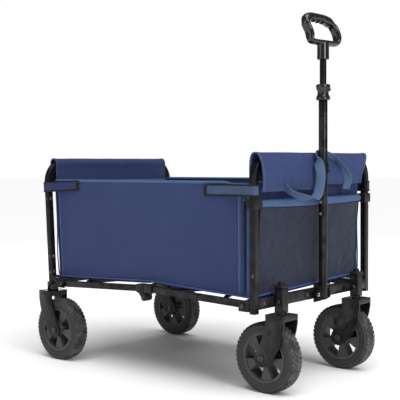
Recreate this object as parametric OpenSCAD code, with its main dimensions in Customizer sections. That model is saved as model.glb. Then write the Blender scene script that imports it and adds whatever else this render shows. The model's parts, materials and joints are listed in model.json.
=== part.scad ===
// Folding camp wagon: two end frames joined by a two-leaf floor that folds up in the middle.
// +X is the front (handle) end, +Z is up, and the origin is the middle of the footprint.

/* [Overall] */
// Distance between the front and the rear posts, centre to centre
post_spacing = 748; // [640:1:920]
// Distance between the left and the right posts, centre to centre
post_track = 512; // [440:1:640]
// Height of the bottom ends of the front posts
front_post_z = 211; // [208:1:216]
// Height of the bottom ends of the rear posts
rear_post_z = 204; // [202:1:207]
// Lean of the rear end frame away from the basket, in degrees
rear_lean = 3; // [0:0.5:4]

/* [End frames] */
// Side of the square post tube
tube = 18; // [16:1:22]
// Wall of the square tubes
tube_wall = 1.5; // [1:0.1:2.5]
// Centre line height of the front top bar
front_bar_z = 586; // [540:1:660]
// Centre line height of the rear top bar
rear_bar_z = 578; // [530:1:650]
// Radius of the bends at the top corners
hoop_bend = 60; // [40:1:80]
// Height of the bottom cross bars
crossbar_h = 26; // [20:1:30]
// Centre height of the bottom cross bars
crossbar_z = 231; // [229:1:234]
// Diameter of the upper cross tube at the front
upper_tube_d = 14; // [12:1:16]
// Height of the upper cross tube
upper_tube_z = 473; // [440:1:480]
// Thickness of the bracket plates
plate = 3; // [2:0.5:4]

/* [Floor] */
// Distance from the front posts back to the front floor hinge
front_hinge_in = 28; // [26:1:40]
// Distance from the rear posts to the rear floor hinge
rear_hinge_in = 52; // [40:1:64]
// Height of the two end hinges of the floor
end_hinge_z = 226; // [224:1:228]
// Height of the middle hinge of the floor
mid_hinge_z = 216; // [212:1:218]
// Height of the side rails at their front ends
front_rail_z = 229; // [228:1:230]
// Height of the side rails at their rear ends
rear_rail_z = 224; // [223:1:226]
// Height of the side rails in the middle of the wagon
mid_rail_z = 239; // [236:1:242]
// Thickness of a side rail
rail_w = 16; // [14:1:16]
// Height of a side rail
rail_h = 16; // [14:1:18]
// Diameter of the diagonal brace tubes
brace_d = 11; // [8:1:12]
// Thickness of a floor board
board_t = 8; // [5:1:10]
// Diameter of the hinge pins
pin_d = 6; // [5:0.5:7]

/* [Wheels] */
// Diameter of a wheel
wheel_d = 178; // [170:1:180]
// Width of a tyre
wheel_w = 46; // [36:1:50]
// Outer radius of the wheel hub, inside the tyre
rim_r = 62; // [54:1:68]
// Number of spokes in a hub
spokes = 5; // [3:1:8]
// Diameter of the axle bolts
axle_d = 10; // [8:1:12]
// Distance between the front casters, stem to stem
front_track = 350; // [320:1:360]
// Distance of the rear wheels inside the posts, centre to centre
rear_wheel_in = 7.5; // [0:0.5:11]
// Distance of a caster stem ahead of the front posts
stem_ahead = 22; // [20:1:26]
// Distance of a rear fork behind the rear posts
rear_fork_back = 10; // [6:1:12]
// Distance of an axle from the middle of its fork
trail = 40; // [34:1:44]

/* [Forks] */
// Height of the top of the forks
fork_top = 200; // [198:1:201]
// Thickness of a fork leg
fork_t = 4; // [3:0.5:5]
// Gap between a tyre and each fork leg
fork_gap = 3; // [2:0.5:5]
// Diameter of a caster stem
stem_d = 12; // [10:1:14]
// Height of the top of the caster housings
housing_top = 266; // [255:1:275]

/* [Handle] */
// Distance of the handle tube ahead of the front posts
pole_ahead = 29; // [28:1:40]
// Height of the handle pivot
pole_pivot_z = 231; // [229:1:234]
// Outer diameter of the handle tube
pole_d = 23; // [20:1:24]
// Wall of the handle tube
pole_wall = 1.2; // [1:0.1:2]
// Height of the top of the handle tube
pole_top = 745; // [640:1:820]
// Gap between the bore of the handle tube and the sliding inner tube
slide_gap = 1.55; // [1.3:0.05:3]
// Height of the underside of the grip neck
neck_z = 836; // [800:1:900]
// Length of the inner tube hidden in the handle tube
slide_hidden = 275; // [120:1:320]
// Largest diameter of the lock collar
collar_d = 37; // [34:1:42]
// Width of the grip
grip_w = 131; // [115:1:150]
// Height of the grip loop
grip_h = 80; // [74:1:90]
// Thickness of the grip loop
grip_t = 26; // [20:1:30]
// Lean of the grip loop back towards the wagon, in degrees
grip_lean = 16; // [0:1:20]

/* [Basket] */
// Height of the basket rim
rim_z = 527; // [515:1:535]
// Distance from the post centres in to the basket fabric
inset = 16; // [15:1:18]
// Thickness of the fabric walls
cloth = 3; // [2:0.5:3]
// Height of the lower edge of the basket at its ends
hem_z = 243; // [242:1:246]
// Rise of the lower edge at the middle of a side
hem_rise = 13; // [8:1:16]
// Height of the lower edge of the outer flaps
flap_z = 505; // [503:1:525]
// Half length of the front flap along its ridge
front_flap_half = 250; // [235:1:252]
// Half length of the rear flap along its ridge
rear_flap_half = 236; // [225:1:245]
// Height of the corner straps
strap_h = 30; // [20:1:34]
// Middle height of the corner straps
strap_z = 505; // [502:1:508]

/* [Clearances] */
// Running clearance of a pin or shaft in its hole, on the radius
run_gap = 0.05; // [0.02:0.01:0.1]
// Gap between parts that move past each other
free_gap = 0.4; // [0.3:0.1:0.6]

/* [Hidden] */
$fn = 48;

LEFT = -1;
RIGHT = 1;

// Places along the length; the axles stand the same distance from the origin
front_x = post_spacing / 2 - (stem_ahead - rear_fork_back) / 2;
rear_x = front_x - post_spacing;
stem_x = front_x + stem_ahead;
front_axle_x = stem_x - trail;
rear_fork_x = rear_x - rear_fork_back;
rear_axle_x = rear_fork_x + trail;
pole_x = front_x + pole_ahead;
front_hinge_x = front_x - front_hinge_in;
rear_hinge_x = rear_x + rear_hinge_in;
mid_hinge_x = (front_hinge_x + rear_hinge_x) / 2;
leaf = front_hinge_x - mid_hinge_x;

// Places across the width
post_y = post_track / 2;
rear_track = post_track - 2 * rear_wheel_in;
wall_y = post_y - inset;
half_tube = tube / 2;
wheel_r = wheel_d / 2;
fork_half = wheel_w / 2 + fork_gap + fork_t;
housing = 2 * (stem_ahead - half_tube);
bore_d = axle_d + 2 * run_gap;
slide_d = pole_d - 2 * pole_wall - 2 * slide_gap;

// Slopes of the two leaves of the floor at rest
front_slope = atan((mid_rail_z - front_rail_z) / leaf);
rear_slope = atan((mid_rail_z - rear_rail_z) / leaf);

// Cut at the corners of the square tubes
corner_cut = 2;

/* Shapes that repeat */

// Square outline with its corners cut at 45 degrees
module square_profile(side, cut) {
    h = side / 2;
    polygon([
        [h, cut - h], [h, h - cut], [h - cut, h], [cut - h, h],
        [-h, h - cut], [-h, cut - h], [cut - h, -h], [h - cut, -h]
    ]);
}

module tube_profile(solid) {
    difference() {
        square_profile(tube, corner_cut);
        if (!solid) square_profile(tube - 2 * tube_wall, corner_cut / 2);
    }
}

// Two posts and a top bar bent from one square tube, standing in the YZ plane
module hoop(bottom, bar_z) {
    for (side = [LEFT, RIGHT]) {
        translate([0, side * post_y, bottom]) linear_extrude(bar_z - hoop_bend - bottom) tube_profile(false);
        mirror([0, side < 0 ? 1 : 0, 0])
            translate([0, post_y - hoop_bend, bar_z - hoop_bend])
                rotate([90, 0, 90]) rotate_extrude(angle = 90) translate([hoop_bend, 0]) tube_profile(false);
    }
    translate([0, post_y - hoop_bend, bar_z])
        rotate([90, 0, 0]) linear_extrude(post_track - 2 * hoop_bend) tube_profile(false);
}

// Puts what belongs to the rear end frame at its post and leans it back
module at_rear() {
    translate([rear_x, 0, rear_post_z]) rotate([0, -rear_lean, 0]) translate([0, 0, -rear_post_z]) children();
}

module at_front() {
    translate([front_x, 0, 0]) children();
}

// Outline in XZ, drawn across the wagon between two Y values
module across(y0, y1) {
    translate([0, y1, 0]) rotate([90, 0, 0]) linear_extrude(y1 - y0) children();
}

// Round bar along Y through the point given
module bar_y(p, d, y0, y1) {
    translate([p[0], y1, p[1]]) rotate([90, 0, 0]) cylinder(h = y1 - y0, d = d);
}

module cross_bar() {
    y = post_y - half_tube;
    across(-y, y) difference() {
        translate([-half_tube, crossbar_z - crossbar_h / 2]) square([tube, crossbar_h]);
        translate([tube_wall - half_tube, crossbar_z - crossbar_h / 2 + tube_wall])
            square([tube - 2 * tube_wall, crossbar_h - 2 * tube_wall]);
    }
}

/* Floor leaves */

// Leaf frame: x runs from the end hinge to the middle hinge, z is measured from the end hinge
module on_front_leaf() {
    translate([front_hinge_x, 0, end_hinge_z]) rotate([0, front_slope, 0]) mirror([1, 0, 0]) children();
}

module on_rear_leaf() {
    translate([rear_hinge_x, 0, end_hinge_z]) rotate([0, -rear_slope, 0]) children();
}

rail_overhang = 7;
rail_end_gap = 8;

module rail_bars(rise, solid) {
    length = leaf + rail_overhang - rail_end_gap;
    for (side = [LEFT, RIGHT]) translate([-rail_overhang, side * post_y, 0]) difference() {
        translate([0, -rail_w / 2, rise - rail_h / 2]) cube([length, rail_w, rail_h]);
        if (!solid) {
            translate([-1, tube_wall - rail_w / 2, rise - rail_h / 2 + tube_wall])
                cube([length + 2, rail_w - 2 * tube_wall, rail_h - 2 * tube_wall]);
            bar_y([rail_overhang, 0], pin_d + 2 * run_gap, -rail_w, rail_w);
        }
    }
}

// Middle hinge blocks: radius of the lugs, length and width of a block, width of the tongue
knuckle_r = 10;
knuckle_l = 27;
knuckle_w = 24;
tongue_w = 8;
socket_wall = 3;

// Gussets of the diagonals, and where the diagonals and the boards start and end along a leaf
lug_l = 16;
lug_y = 6;
brace_start = 76;
brace_end_gap = knuckle_l + lug_l / 2 + 3;
brace_gap = 0.1;
board_start = 68;
board_end_gap = 6;
board_gap = 0.5;
board_side_gap = 2.5;

// Two diagonal tubes that cross one above the other
module brace_tubes(rise) {
    span_x = leaf - brace_end_gap - brace_start;
    span_y = 2 * (post_y - rail_w / 2) - 2 * brace_d;
    length = sqrt(span_x * span_x + span_y * span_y);
    for (side = [LEFT, RIGHT])
        translate([brace_start + span_x / 2, 0, rise + side * (brace_d + brace_gap) / 2])
            rotate([0, 0, side * atan(span_y / span_x)])
                rotate([0, 90, 0]) difference() {
                    cylinder(h = length, d = brace_d, center = true);
                    cylinder(h = length + 2, d = brace_d - 2 * tube_wall, center = true);
                }
}

// Gussets that carry the ends of the diagonals on the rails
module brace_lugs(rise) {
    rail_face = post_y - rail_w / 2;
    lug_w = brace_d + lug_y;
    for (side = [LEFT, RIGHT], u = [brace_start, leaf - brace_end_gap])
        translate([u - lug_l / 2, side > 0 ? rail_face - lug_w : -rail_face, rise - brace_d / 4])
            cube([lug_l, lug_w, brace_d / 2]);
}

module leaf_brace(rise) {
    brace_tubes(rise);
    brace_lugs(rise);
}

module leaf_board(rise) {
    y = wall_y - cloth / 2 - board_side_gap;
    length = leaf - board_start - board_end_gap;
    translate([board_start, -y, rise + brace_d + board_gap]) cube([length, 2 * y, board_t]);
}

/* Middle hinge: a tongue on the front leaf turns between two cheeks on the rear leaf */

module hinge_block(dir, y0, y1) {
    top = mid_rail_z + rail_h / 2 + socket_wall;
    low = mid_hinge_z + knuckle_r + 2;
    across(y0, y1) translate([mid_hinge_x + dir * 0.3, 0])
        polygon([[0, low], [0, top], [dir * knuckle_l, top], [dir * knuckle_l, low]]);
}

module hinge_lug(dir, y0, y1) {
    across(y0, y1) difference() {
        union() {
            translate([mid_hinge_x, mid_hinge_z]) circle(r = knuckle_r);
            translate([mid_hinge_x, 0]) polygon([
                [dir * 0.3, mid_hinge_z], [dir * 0.3, mid_hinge_z + knuckle_r + 4],
                [dir * (knuckle_l - 4), mid_hinge_z + knuckle_r + 4], [dir * (knuckle_r - 1), mid_hinge_z]
            ]);
        }
        translate([mid_hinge_x, mid_hinge_z]) circle(d = pin_d + 2 * run_gap);
    }
}

module centre_hinge_front() {
    color("#1b1c1e") difference() {
        for (side = [LEFT, RIGHT]) {
            y = side * post_y;
            hinge_block(1, y - knuckle_w / 2, y + knuckle_w / 2);
            hinge_lug(1, y - tongue_w / 2, y + tongue_w / 2);
        }
        on_front_leaf() rail_bars(front_rail_z - end_hinge_z, true);
    }
}

module centre_hinge_rear() {
    color("#1b1c1e") difference() {
        for (side = [LEFT, RIGHT]) {
            y = side * post_y;
            hinge_block(-1, y - knuckle_w / 2, y + knuckle_w / 2);
            hinge_lug(-1, y - knuckle_w / 2, y - tongue_w / 2 - free_gap);
            hinge_lug(-1, y + tongue_w / 2 + free_gap, y + knuckle_w / 2);
        }
        on_rear_leaf() rail_bars(rear_rail_z - end_hinge_z, true);
    }
}

module centre_hinge_pins() {
    head = 2.5;
    head_d = pin_d + 5;
    tight_d = pin_d + 2 * run_gap;
    cheek = tongue_w / 2 + free_gap;
    face = knuckle_w / 2;
    color("silver") for (side = [LEFT, RIGHT]) translate([mid_hinge_x, side * post_y, mid_hinge_z]) {
        bar_y([0, 0], tight_d, -face, -cheek);
        bar_y([0, 0], pin_d, -face, face);
        bar_y([0, 0], tight_d, cheek, face);
        bar_y([0, 0], head_d, -face - head, -face);
        bar_y([0, 0], head_d, face, face + head);
    }
}

module front_rails() {
    color("#2b2c2f") on_front_leaf() rail_bars(front_rail_z - end_hinge_z, false);
}

module rear_rails() {
    color("#2b2c2f") on_rear_leaf() rail_bars(rear_rail_z - end_hinge_z, false);
}

module front_brace() {
    color("#232427") on_front_leaf() leaf_brace(front_rail_z - end_hinge_z);
}

module rear_brace() {
    color("#232427") on_rear_leaf() leaf_brace(rear_rail_z - end_hinge_z);
}

module front_floor_board() {
    color("#2e3350") on_front_leaf() leaf_board(front_rail_z - end_hinge_z);
}

module rear_floor_board() {
    color("#2e3350") on_rear_leaf() leaf_board(rear_rail_z - end_hinge_z);
}

/* Front end frame */

module front_hoop() {
    color("#2b2c2f") at_front() hoop(front_post_z, front_bar_z);
}

// Plastic plugs in the open ends of the front posts
module front_feet() {
    lip = 3;
    plug = 14;
    color("#1b1c1e") for (side = [LEFT, RIGHT]) translate([front_x, side * post_y, front_post_z]) {
        translate([0, 0, -lip]) linear_extrude(lip) square_profile(tube, corner_cut);
        linear_extrude(plug) square_profile(tube - 2 * tube_wall, corner_cut / 2);
    }
}

module front_crossbar() {
    color("#2b2c2f") at_front() cross_bar();
}

module front_upper_tube() {
    y = post_y - half_tube;
    color("#232427") difference() {
        bar_y([front_x, upper_tube_z], upper_tube_d, -y, y);
        bar_y([front_x, upper_tube_z], upper_tube_d - 2 * tube_wall, -y - 1, y + 1);
    }
}

// Clamps that hold the upper cross tube on the posts, each with a bolt head outside
module front_knuckles() {
    wall = 3;
    knuckle = tube + 2 * wall;
    reach = 9;
    bolt_d = 9;
    bolt_l = 7;
    face = post_y + half_tube;
    color("#1b1c1e") for (side = [LEFT, RIGHT]) difference() {
        union() {
            translate([front_x - knuckle / 2, side > 0 ? post_y - half_tube - reach : -face - wall,
                upper_tube_z - knuckle / 2]) cube([knuckle, tube + wall + reach, knuckle]);
            bar_y([front_x, upper_tube_z], bolt_d, side > 0 ? face : -face - bolt_l,
                side > 0 ? face + bolt_l : -face);
        }
        translate([front_x, side * post_y, 0]) linear_extrude(front_bar_z) square_profile(tube, corner_cut);
        bar_y([front_x, upper_tube_z], upper_tube_d, -post_y + half_tube, post_y - half_tube);
    }
}

// Clevis behind each front post that holds the end of a side rail
module hinge_bracket(post_x, dir, hinge_x) {
    low = end_hinge_z - 13;
    high = end_hinge_z + 19;
    reach = 11;
    face = post_x - dir * half_tube;
    end = hinge_x - dir * reach;
    for (side = [LEFT, RIGHT]) difference() {
        union() {
            across(side * post_y - half_tube - plate, side * post_y + half_tube + plate)
                translate([min(face, face - dir * plate), low]) square([plate, high - low]);
            for (s = [-1, 1])
                across(side * post_y + s * (half_tube + plate / 2) - plate / 2,
                    side * post_y + s * (half_tube + plate / 2) + plate / 2)
                    polygon([[face, low], [face, high], [end + dir * reach / 2, end_hinge_z + reach],
                        [end, end_hinge_z + reach / 2], [end, low]]);
        }
        bar_y([hinge_x, end_hinge_z], pin_d, side * post_y - tube, side * post_y + tube);
    }
}

module hinge_pins(hinge_x) {
    head = 3;
    reach = half_tube + plate;
    for (side = [LEFT, RIGHT]) {
        bar_y([hinge_x, end_hinge_z], pin_d, side * post_y - reach, side * post_y + reach);
        bar_y([hinge_x, end_hinge_z], pin_d + 6, side * post_y - reach - head, side * post_y - reach);
        bar_y([hinge_x, end_hinge_z], pin_d + 6, side * post_y + reach, side * post_y + reach + head);
    }
}

module front_hinge_brackets() {
    color("#232427") hinge_bracket(front_x, 1, front_hinge_x);
}

module front_hinge_pins() {
    color("silver") hinge_pins(front_hinge_x);
}

/* Casters */
washer = 4.9;
washer_gap = 0.1;
housing_cut = 2;

module caster_housings() {
    low = fork_top + washer + washer_gap;
    height = housing_top - low;
    color("#2b2c2f") for (side = [LEFT, RIGHT])
        translate([stem_x, side * front_track / 2, low]) difference() {
            linear_extrude(height) square_profile(housing, housing_cut);
            translate([0, 0, -1]) cylinder(h = height + 2, d = stem_d + 2 * run_gap);
        }
}

module housing_caps() {
    cap = 6;
    knob = 8;
    color("#1b1c1e") for (side = [LEFT, RIGHT]) translate([stem_x, side * front_track / 2, housing_top]) {
        linear_extrude(cap) square_profile(housing + 2 * housing_cut, 2 * housing_cut);
        translate([0, 0, cap]) cylinder(h = knob, d = stem_d + 5);
    }
}

// Half length of a fork's top, radius of its round ends at the axle, and its top plate
fork_reach = 28;
fork_end_r = 22;
bridge = 14;
bridge_r = 38;

// Fork outline in XZ, with its middle at x = 0 and its axle at x = -trail
module fork_outline() {
    difference() {
        union() {
            polygon([
                [-fork_reach, fork_top], [fork_reach, fork_top], [fork_reach, wheel_r + 88],
                [fork_reach - 4, wheel_r + 67], [fork_reach - 16, wheel_r + 30], [-4, wheel_r + 2],
                [fork_end_r - 2 - trail, wheel_r - 16], [-trail, wheel_r],
                [2 - fork_end_r - trail, wheel_r + 10], [-8 - trail, wheel_r + 30],
                [-fork_reach - 3, wheel_r + 67], [-fork_reach + 1, wheel_r + 88]
            ]);
            translate([-trail, wheel_r]) circle(r = fork_end_r);
        }
        translate([-trail, wheel_r]) circle(d = axle_d);
    }
}

module fork() {
    inner = fork_half - fork_t;
    for (side = [LEFT, RIGHT])
        across(side > 0 ? inner : -fork_half, side > 0 ? fork_half : -inner) fork_outline();
    translate([0, 0, fork_top - bridge]) intersection() {
        translate([-fork_reach, -inner, 0]) cube([2 * fork_reach, 2 * inner, bridge]);
        cylinder(h = bridge, r = bridge_r);
    }
}

module axle_bolt() {
    head = 3.5;
    head_d = axle_d + 6;
    bar_y([-trail, wheel_r], axle_d, -fork_half, fork_half);
    bar_y([-trail, wheel_r], head_d, -fork_half - head, -fork_half);
    bar_y([-trail, wheel_r], head_d, fork_half, fork_half + head);
}

module caster_stem() {
    top_gap = 2;
    translate([0, 0, fork_top]) cylinder(h = housing_top - fork_top - top_gap, d = stem_d);
    translate([0, 0, fork_top]) cylinder(h = washer, d = 2 * stem_d);
}

module at_caster(side) {
    translate([stem_x, side * front_track / 2, 0]) children();
}

module at_rear_fork(side) {
    translate([rear_fork_x, side * rear_track / 2, 0]) mirror([1, 0, 0]) children();
}

module front_fork_left() { color("#1b1c1e") at_caster(LEFT) fork(); }
module front_fork_right() { color("#1b1c1e") at_caster(RIGHT) fork(); }
module front_stem_left() { color("silver") at_caster(LEFT) caster_stem(); }
module front_stem_right() { color("silver") at_caster(RIGHT) caster_stem(); }
module front_axle_left() { color("silver") at_caster(LEFT) axle_bolt(); }
module front_axle_right() { color("silver") at_caster(RIGHT) axle_bolt(); }
module rear_fork_left() { color("#1b1c1e") at_rear_fork(LEFT) fork(); }
module rear_fork_right() { color("#1b1c1e") at_rear_fork(RIGHT) fork(); }
module rear_axle_left() { color("silver") at_rear_fork(LEFT) axle_bolt(); }
module rear_axle_right() { color("silver") at_rear_fork(RIGHT) axle_bolt(); }

/* Wheels */

// Tyre profile from the rim over the shoulders to the tread
module tyre(x, y) {
    half = wheel_w / 2;
    color("#3c3e40") translate([x, y, wheel_r]) rotate([90, 0, 0]) rotate_extrude() polygon([
        [rim_r, 2 - half], [rim_r + 6, -half], [wheel_r - 7, 1 - half], [wheel_r - 2, 6 - half],
        [wheel_r, 12 - half], [wheel_r, half - 12], [wheel_r - 2, half - 6], [wheel_r - 7, half - 1],
        [rim_r + 6, half], [rim_r, half - 2]
    ]);
}

// Hub with flat wedge spokes between a core and a rim band
module hub(x, y) {
    band = 5;
    core_r = 20;
    spoke_from = 61;
    spoke_share = 0.47;
    spoke_w = wheel_w - 10;
    half_angle = spoke_share * 180 / spokes;
    tip = rim_r - 2;
    color("#4a4c4e") translate([x, y, wheel_r]) rotate([90, 0, 0]) difference() {
        union() {
            difference() {
                cylinder(h = wheel_w - 4, r = rim_r, center = true);
                cylinder(h = wheel_w, r = rim_r - band, center = true);
            }
            cylinder(h = wheel_w + 2 * fork_gap - 1, r = core_r - 4, center = true);
            cylinder(h = wheel_w - 2, r = core_r, center = true);
            for (i = [0 : spokes - 1]) rotate([0, 0, spoke_from + i * 360 / spokes])
                translate([0, 0, -spoke_w / 2]) linear_extrude(spoke_w) polygon([
                    [core_r / 2, 0], [tip * cos(half_angle), -tip * sin(half_angle)],
                    [rim_r - 1, 0], [tip * cos(half_angle), tip * sin(half_angle)]
                ]);
        }
        cylinder(h = 2 * wheel_w, d = bore_d, center = true);
    }
}

module tyre_front_left() { tyre(front_axle_x, -front_track / 2); }
module tyre_front_right() { tyre(front_axle_x, front_track / 2); }
module tyre_rear_left() { tyre(rear_axle_x, -rear_track / 2); }
module tyre_rear_right() { tyre(rear_axle_x, rear_track / 2); }
module hub_front_left() { hub(front_axle_x, -front_track / 2); }
module hub_front_right() { hub(front_axle_x, front_track / 2); }
module hub_rear_left() { hub(rear_axle_x, -rear_track / 2); }
module hub_rear_right() { hub(rear_axle_x, rear_track / 2); }

/* Rear end frame */

module rear_hoop() {
    color("#2b2c2f") at_rear() hoop(rear_post_z, rear_bar_z);
}

module rear_crossbar() {
    color("#2b2c2f") at_rear() cross_bar();
}

// Socket round the foot of each rear post, standing on the fork, with the rail clevis on its front
module rear_hinge_brackets() {
    top = rear_post_z + 22;
    wall = 3;
    color("#232427") difference() {
        union() {
            hinge_bracket(rear_x, -1, rear_hinge_x);
            for (side = [LEFT, RIGHT])
                translate([rear_x, side * (post_y + wall / 2), fork_top]) linear_extrude(top - fork_top)
                    square([tube + 2 * wall, tube + wall], center = true);
        }
        at_rear() for (side = [LEFT, RIGHT]) translate([0, side * post_y, rear_post_z])
            linear_extrude(rear_bar_z) square_profile(tube, corner_cut);
        at_rear() across(half_tube - post_y, post_y - half_tube)
            translate([-half_tube, crossbar_z - crossbar_h / 2]) square([tube, crossbar_h]);
    }
}

module rear_hinge_pins() {
    color("silver") hinge_pins(rear_hinge_x);
}

/* Handle */
clevis_gap = 0.5;
clevis_plate = 3.5;
clevis_low = 22;
clevis_high = 27;
pivot_d = 8;
rivet_z = [440, 470];
rivet_d = 5;
rivet_seat = 1;
rivet_head = 1.5;

module handle_bracket() {
    back = front_x + half_tube;
    inner = pole_d / 2 + clevis_gap;
    outer = inner + clevis_plate;
    low = pole_pivot_z - clevis_low;
    high = pole_pivot_z + clevis_high;
    nose = pole_x + 13;
    color("#1b1c1e") difference() {
        union() {
            translate([back, -outer, low]) cube([plate, 2 * outer, high - low]);
            for (s = [-1, 1])
                across(s > 0 ? inner : -outer, s > 0 ? outer : -inner) {
                    polygon([[back, low], [back, high], [pole_x + 4, high - 4],
                        [nose, pole_pivot_z + pivot_d], [nose, pole_pivot_z - pivot_d], [pole_x, low + 6]]);
                }
        }
        bar_y([pole_x, pole_pivot_z], pivot_d, -outer - 1, outer + 1);
    }
}

module handle_pivot_bolt() {
    outer = pole_d / 2 + clevis_gap + clevis_plate;
    knob = 6;
    head = 3;
    nut = 5;
    color("silver") {
        bar_y([pole_x, pole_pivot_z], pivot_d, -outer, outer);
        bar_y([pole_x, pole_pivot_z], pivot_d + 14, -outer - knob, -outer);
        bar_y([pole_x, pole_pivot_z], pivot_d + 3, -outer - knob - head, -outer - knob);
        bar_y([pole_x, pole_pivot_z], pivot_d + 6, outer, outer + nut);
    }
}

module handle_tube() {
    low = pole_pivot_z - 10;
    color("#232427") difference() {
        translate([pole_x, 0, low]) cylinder(h = pole_top - low, d = pole_d);
        translate([pole_x, 0, low - 1]) cylinder(h = pole_top - low + 2, d = pole_d - 2 * pole_wall);
        bar_y([pole_x, pole_pivot_z], pivot_d + 2 * run_gap, -pole_d, pole_d);
        translate([pole_x, 0, 0]) for (z = rivet_z) rivet_shank(z);
    }
}

module rivet_shank(z) {
    bar_y([0, z], rivet_d, -pole_d / 2 - rivet_seat, -pole_d / 2 + pole_wall);
}

// Two rivets on the left side of the handle tube
module pole_rivets() {
    color("silver") translate([pole_x, 0, 0]) for (z = rivet_z) {
        rivet_shank(z);
        bar_y([0, z], rivet_d + 3, -pole_d / 2 - rivet_seat - rivet_head, -pole_d / 2 - rivet_seat);
    }
}

// Lock collar below and above the top of the handle tube, and its spring button
collar_low = 13;
collar_high = 28;
button_d = 10;
button_z = pole_top + 14;
button_out = 2.5;
button_room = 3.2;

module lock_collar() {
    r = collar_d / 2;
    color("#1b1c1e") difference() {
        translate([pole_x, 0, pole_top]) rotate_extrude() difference() {
            polygon([
                [0, -collar_low], [r - 2, -collar_low], [r, -collar_low + 3], [r, -6], [r - 4, 0],
                [r - 4, 9], [r, 15], [r, collar_high - 3], [r - 3, collar_high], [0, collar_high]
            ]);
            translate([0, -collar_low - 1]) square([pole_d / 2, collar_low + 1]);
            translate([0, -1]) square([slide_d / 2 + run_gap, collar_high + 2]);
        }
        translate([pole_x, 0, button_z]) rotate([0, 90, 0])
            cylinder(h = collar_d, d = button_d + 2 * run_gap);
    }
}

// Spring button in the front of the collar
module lock_button() {
    from = slide_d / 2 + button_room;
    color("#3c3e40") translate([pole_x, 0, button_z]) rotate([0, 90, 0]) translate([0, 0, from])
        cylinder(h = collar_d / 2 + button_out - from, d = button_d);
}

module inner_tube() {
    low = pole_top - slide_hidden;
    length = neck_z - low + neck_bore;
    guide = 22;
    color("#232427") translate([pole_x, 0, low]) difference() {
        union() {
            cylinder(h = length, d = slide_d);
            cylinder(h = guide, d = pole_d - 2 * pole_wall - 2 * run_gap);
        }
        translate([0, 0, -1]) cylinder(h = length + 2, d = slide_d - 2 * pole_wall);
    }
}

// Height of the grip neck, and how far the inner tube reaches into it
neck_h = 38;
neck_bore = 20;

// Outline of the grip loop in its own plane, y across and z up from the top of the neck
module grip_outline() {
    w = grip_w / 2;
    h = grip_h;
    difference() {
        polygon([
            [16 - w, 0], [w - 16, 0], [w - 6, 3], [w, 12], [w - 1, 32], [w - 4, 52], [w - 14, 68],
            [w - 30, h], [30 - w, h], [14 - w, 68], [4 - w, 52], [1 - w, 32], [-w, 12], [6 - w, 3]
        ]);
        polygon([
            [28 - w, 18], [w - 28, 18], [w - 25, 22], [w - 26, 36], [w - 30, 50], [w - 40, h - 20],
            [40 - w, h - 20], [30 - w, 50], [26 - w, 36], [25 - w, 22]
        ]);
    }
}

module grip() {
    root = 2;
    color("#1b1c1e") translate([pole_x, 0, neck_z]) difference() {
        union() {
            cylinder(h = neck_h, d1 = slide_d + 9.5, d2 = slide_d + 13.5);
            translate([0, 0, neck_h]) rotate([0, -grip_lean, 0]) translate([-grip_t / 2, 0, -root])
                rotate([90, 0, 90]) linear_extrude(grip_t) grip_outline();
        }
        translate([0, 0, -1]) cylinder(h = neck_bore + 1, d = slide_d);
    }
}

/* Basket */

// Side wall of cloth with a lower edge that follows the floor
module side_wall(side) {
    rear_top = rear_x + inset - (rim_z - rear_post_z) * tan(rear_lean);
    rear_low = rear_x + inset - (hem_z - rear_post_z) * tan(rear_lean);
    front = front_x - inset + cloth / 2;
    y = side * wall_y;
    color("#3c4468") across(y - cloth / 2, y + cloth / 2) polygon([
        [rear_low, hem_z], [mid_hinge_x - 60, hem_z + hem_rise], [mid_hinge_x + 60, hem_z + hem_rise],
        [front, hem_z], [front, rim_z], [rear_top, rim_z]
    ]);
}

module side_left() { side_wall(LEFT); }
module side_right() { side_wall(RIGHT); }

// Length of the floor strips that stay with the end walls, and their drop below the hem
apron = 72;
apron_drop = 2;

// End wall with the short strip of floor that stays with its end frame
module front_end_panel() {
    y = wall_y - cloth / 2;
    x = front_x - inset;
    low = hem_z - apron_drop;
    top = rim_z + front_rim_rise;
    color("#3c4468") across(-y, y) polygon([
        [x + cloth / 2, low], [x + cloth / 2, top], [x - cloth / 2, top],
        [x - cloth / 2, low + cloth], [x - apron, low + cloth], [x - apron, low]
    ]);
}

module rear_end_panel() {
    y = wall_y - cloth / 2 - free_gap;
    x = inset - cloth / 2 - free_gap;
    low = hem_z - 2 * apron_drop;
    reach = apron + 6;
    drop = reach * tan(rear_lean);
    color("#3c4468") at_rear() across(-y, y) polygon([
        [x - cloth, low], [x - cloth, rim_z - rear_rim_drop], [x, rim_z - rear_rim_drop],
        [x, low + cloth], [x + reach, low + cloth - drop], [x + reach, low - drop]
    ]);
}

// The front end wall stands above the rim and the rear one stays below it
front_rim_rise = 2;
rear_rim_drop = 6;
flap_gap = 0.3;
flap_t = 2.4;
flap_out = 2;

// Cloth folded over a top bar: a leg inside from the end wall and a longer leg outside
module flap(bar_z, half, start_z, dir) {
    out = half_tube + flap_out;
    top = bar_z + half_tube + flap_gap;
    bend = top - 5;
    across(-half, half) mirror([dir < 0 ? 1 : 0, 0]) polygon([
        [out + flap_t, flap_z], [out + flap_t, bend], [half_tube, top + flap_t], [-half_tube, top + flap_t],
        [-out - flap_t, bend], [-inset - cloth / 2, start_z], [-inset + cloth / 2, start_z],
        [-out, bend - 1], [-half_tube, top], [half_tube, top], [out, bend - 1], [out, flap_z]
    ]);
}

module front_flap() {
    color("#3c4468") at_front() flap(front_bar_z, front_flap_half, rim_z + front_rim_rise, 1);
}

module rear_flap() {
    color("#3c4468") at_rear() flap(rear_bar_z, rear_flap_half, rim_z - rear_rim_drop, -1);
}

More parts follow.
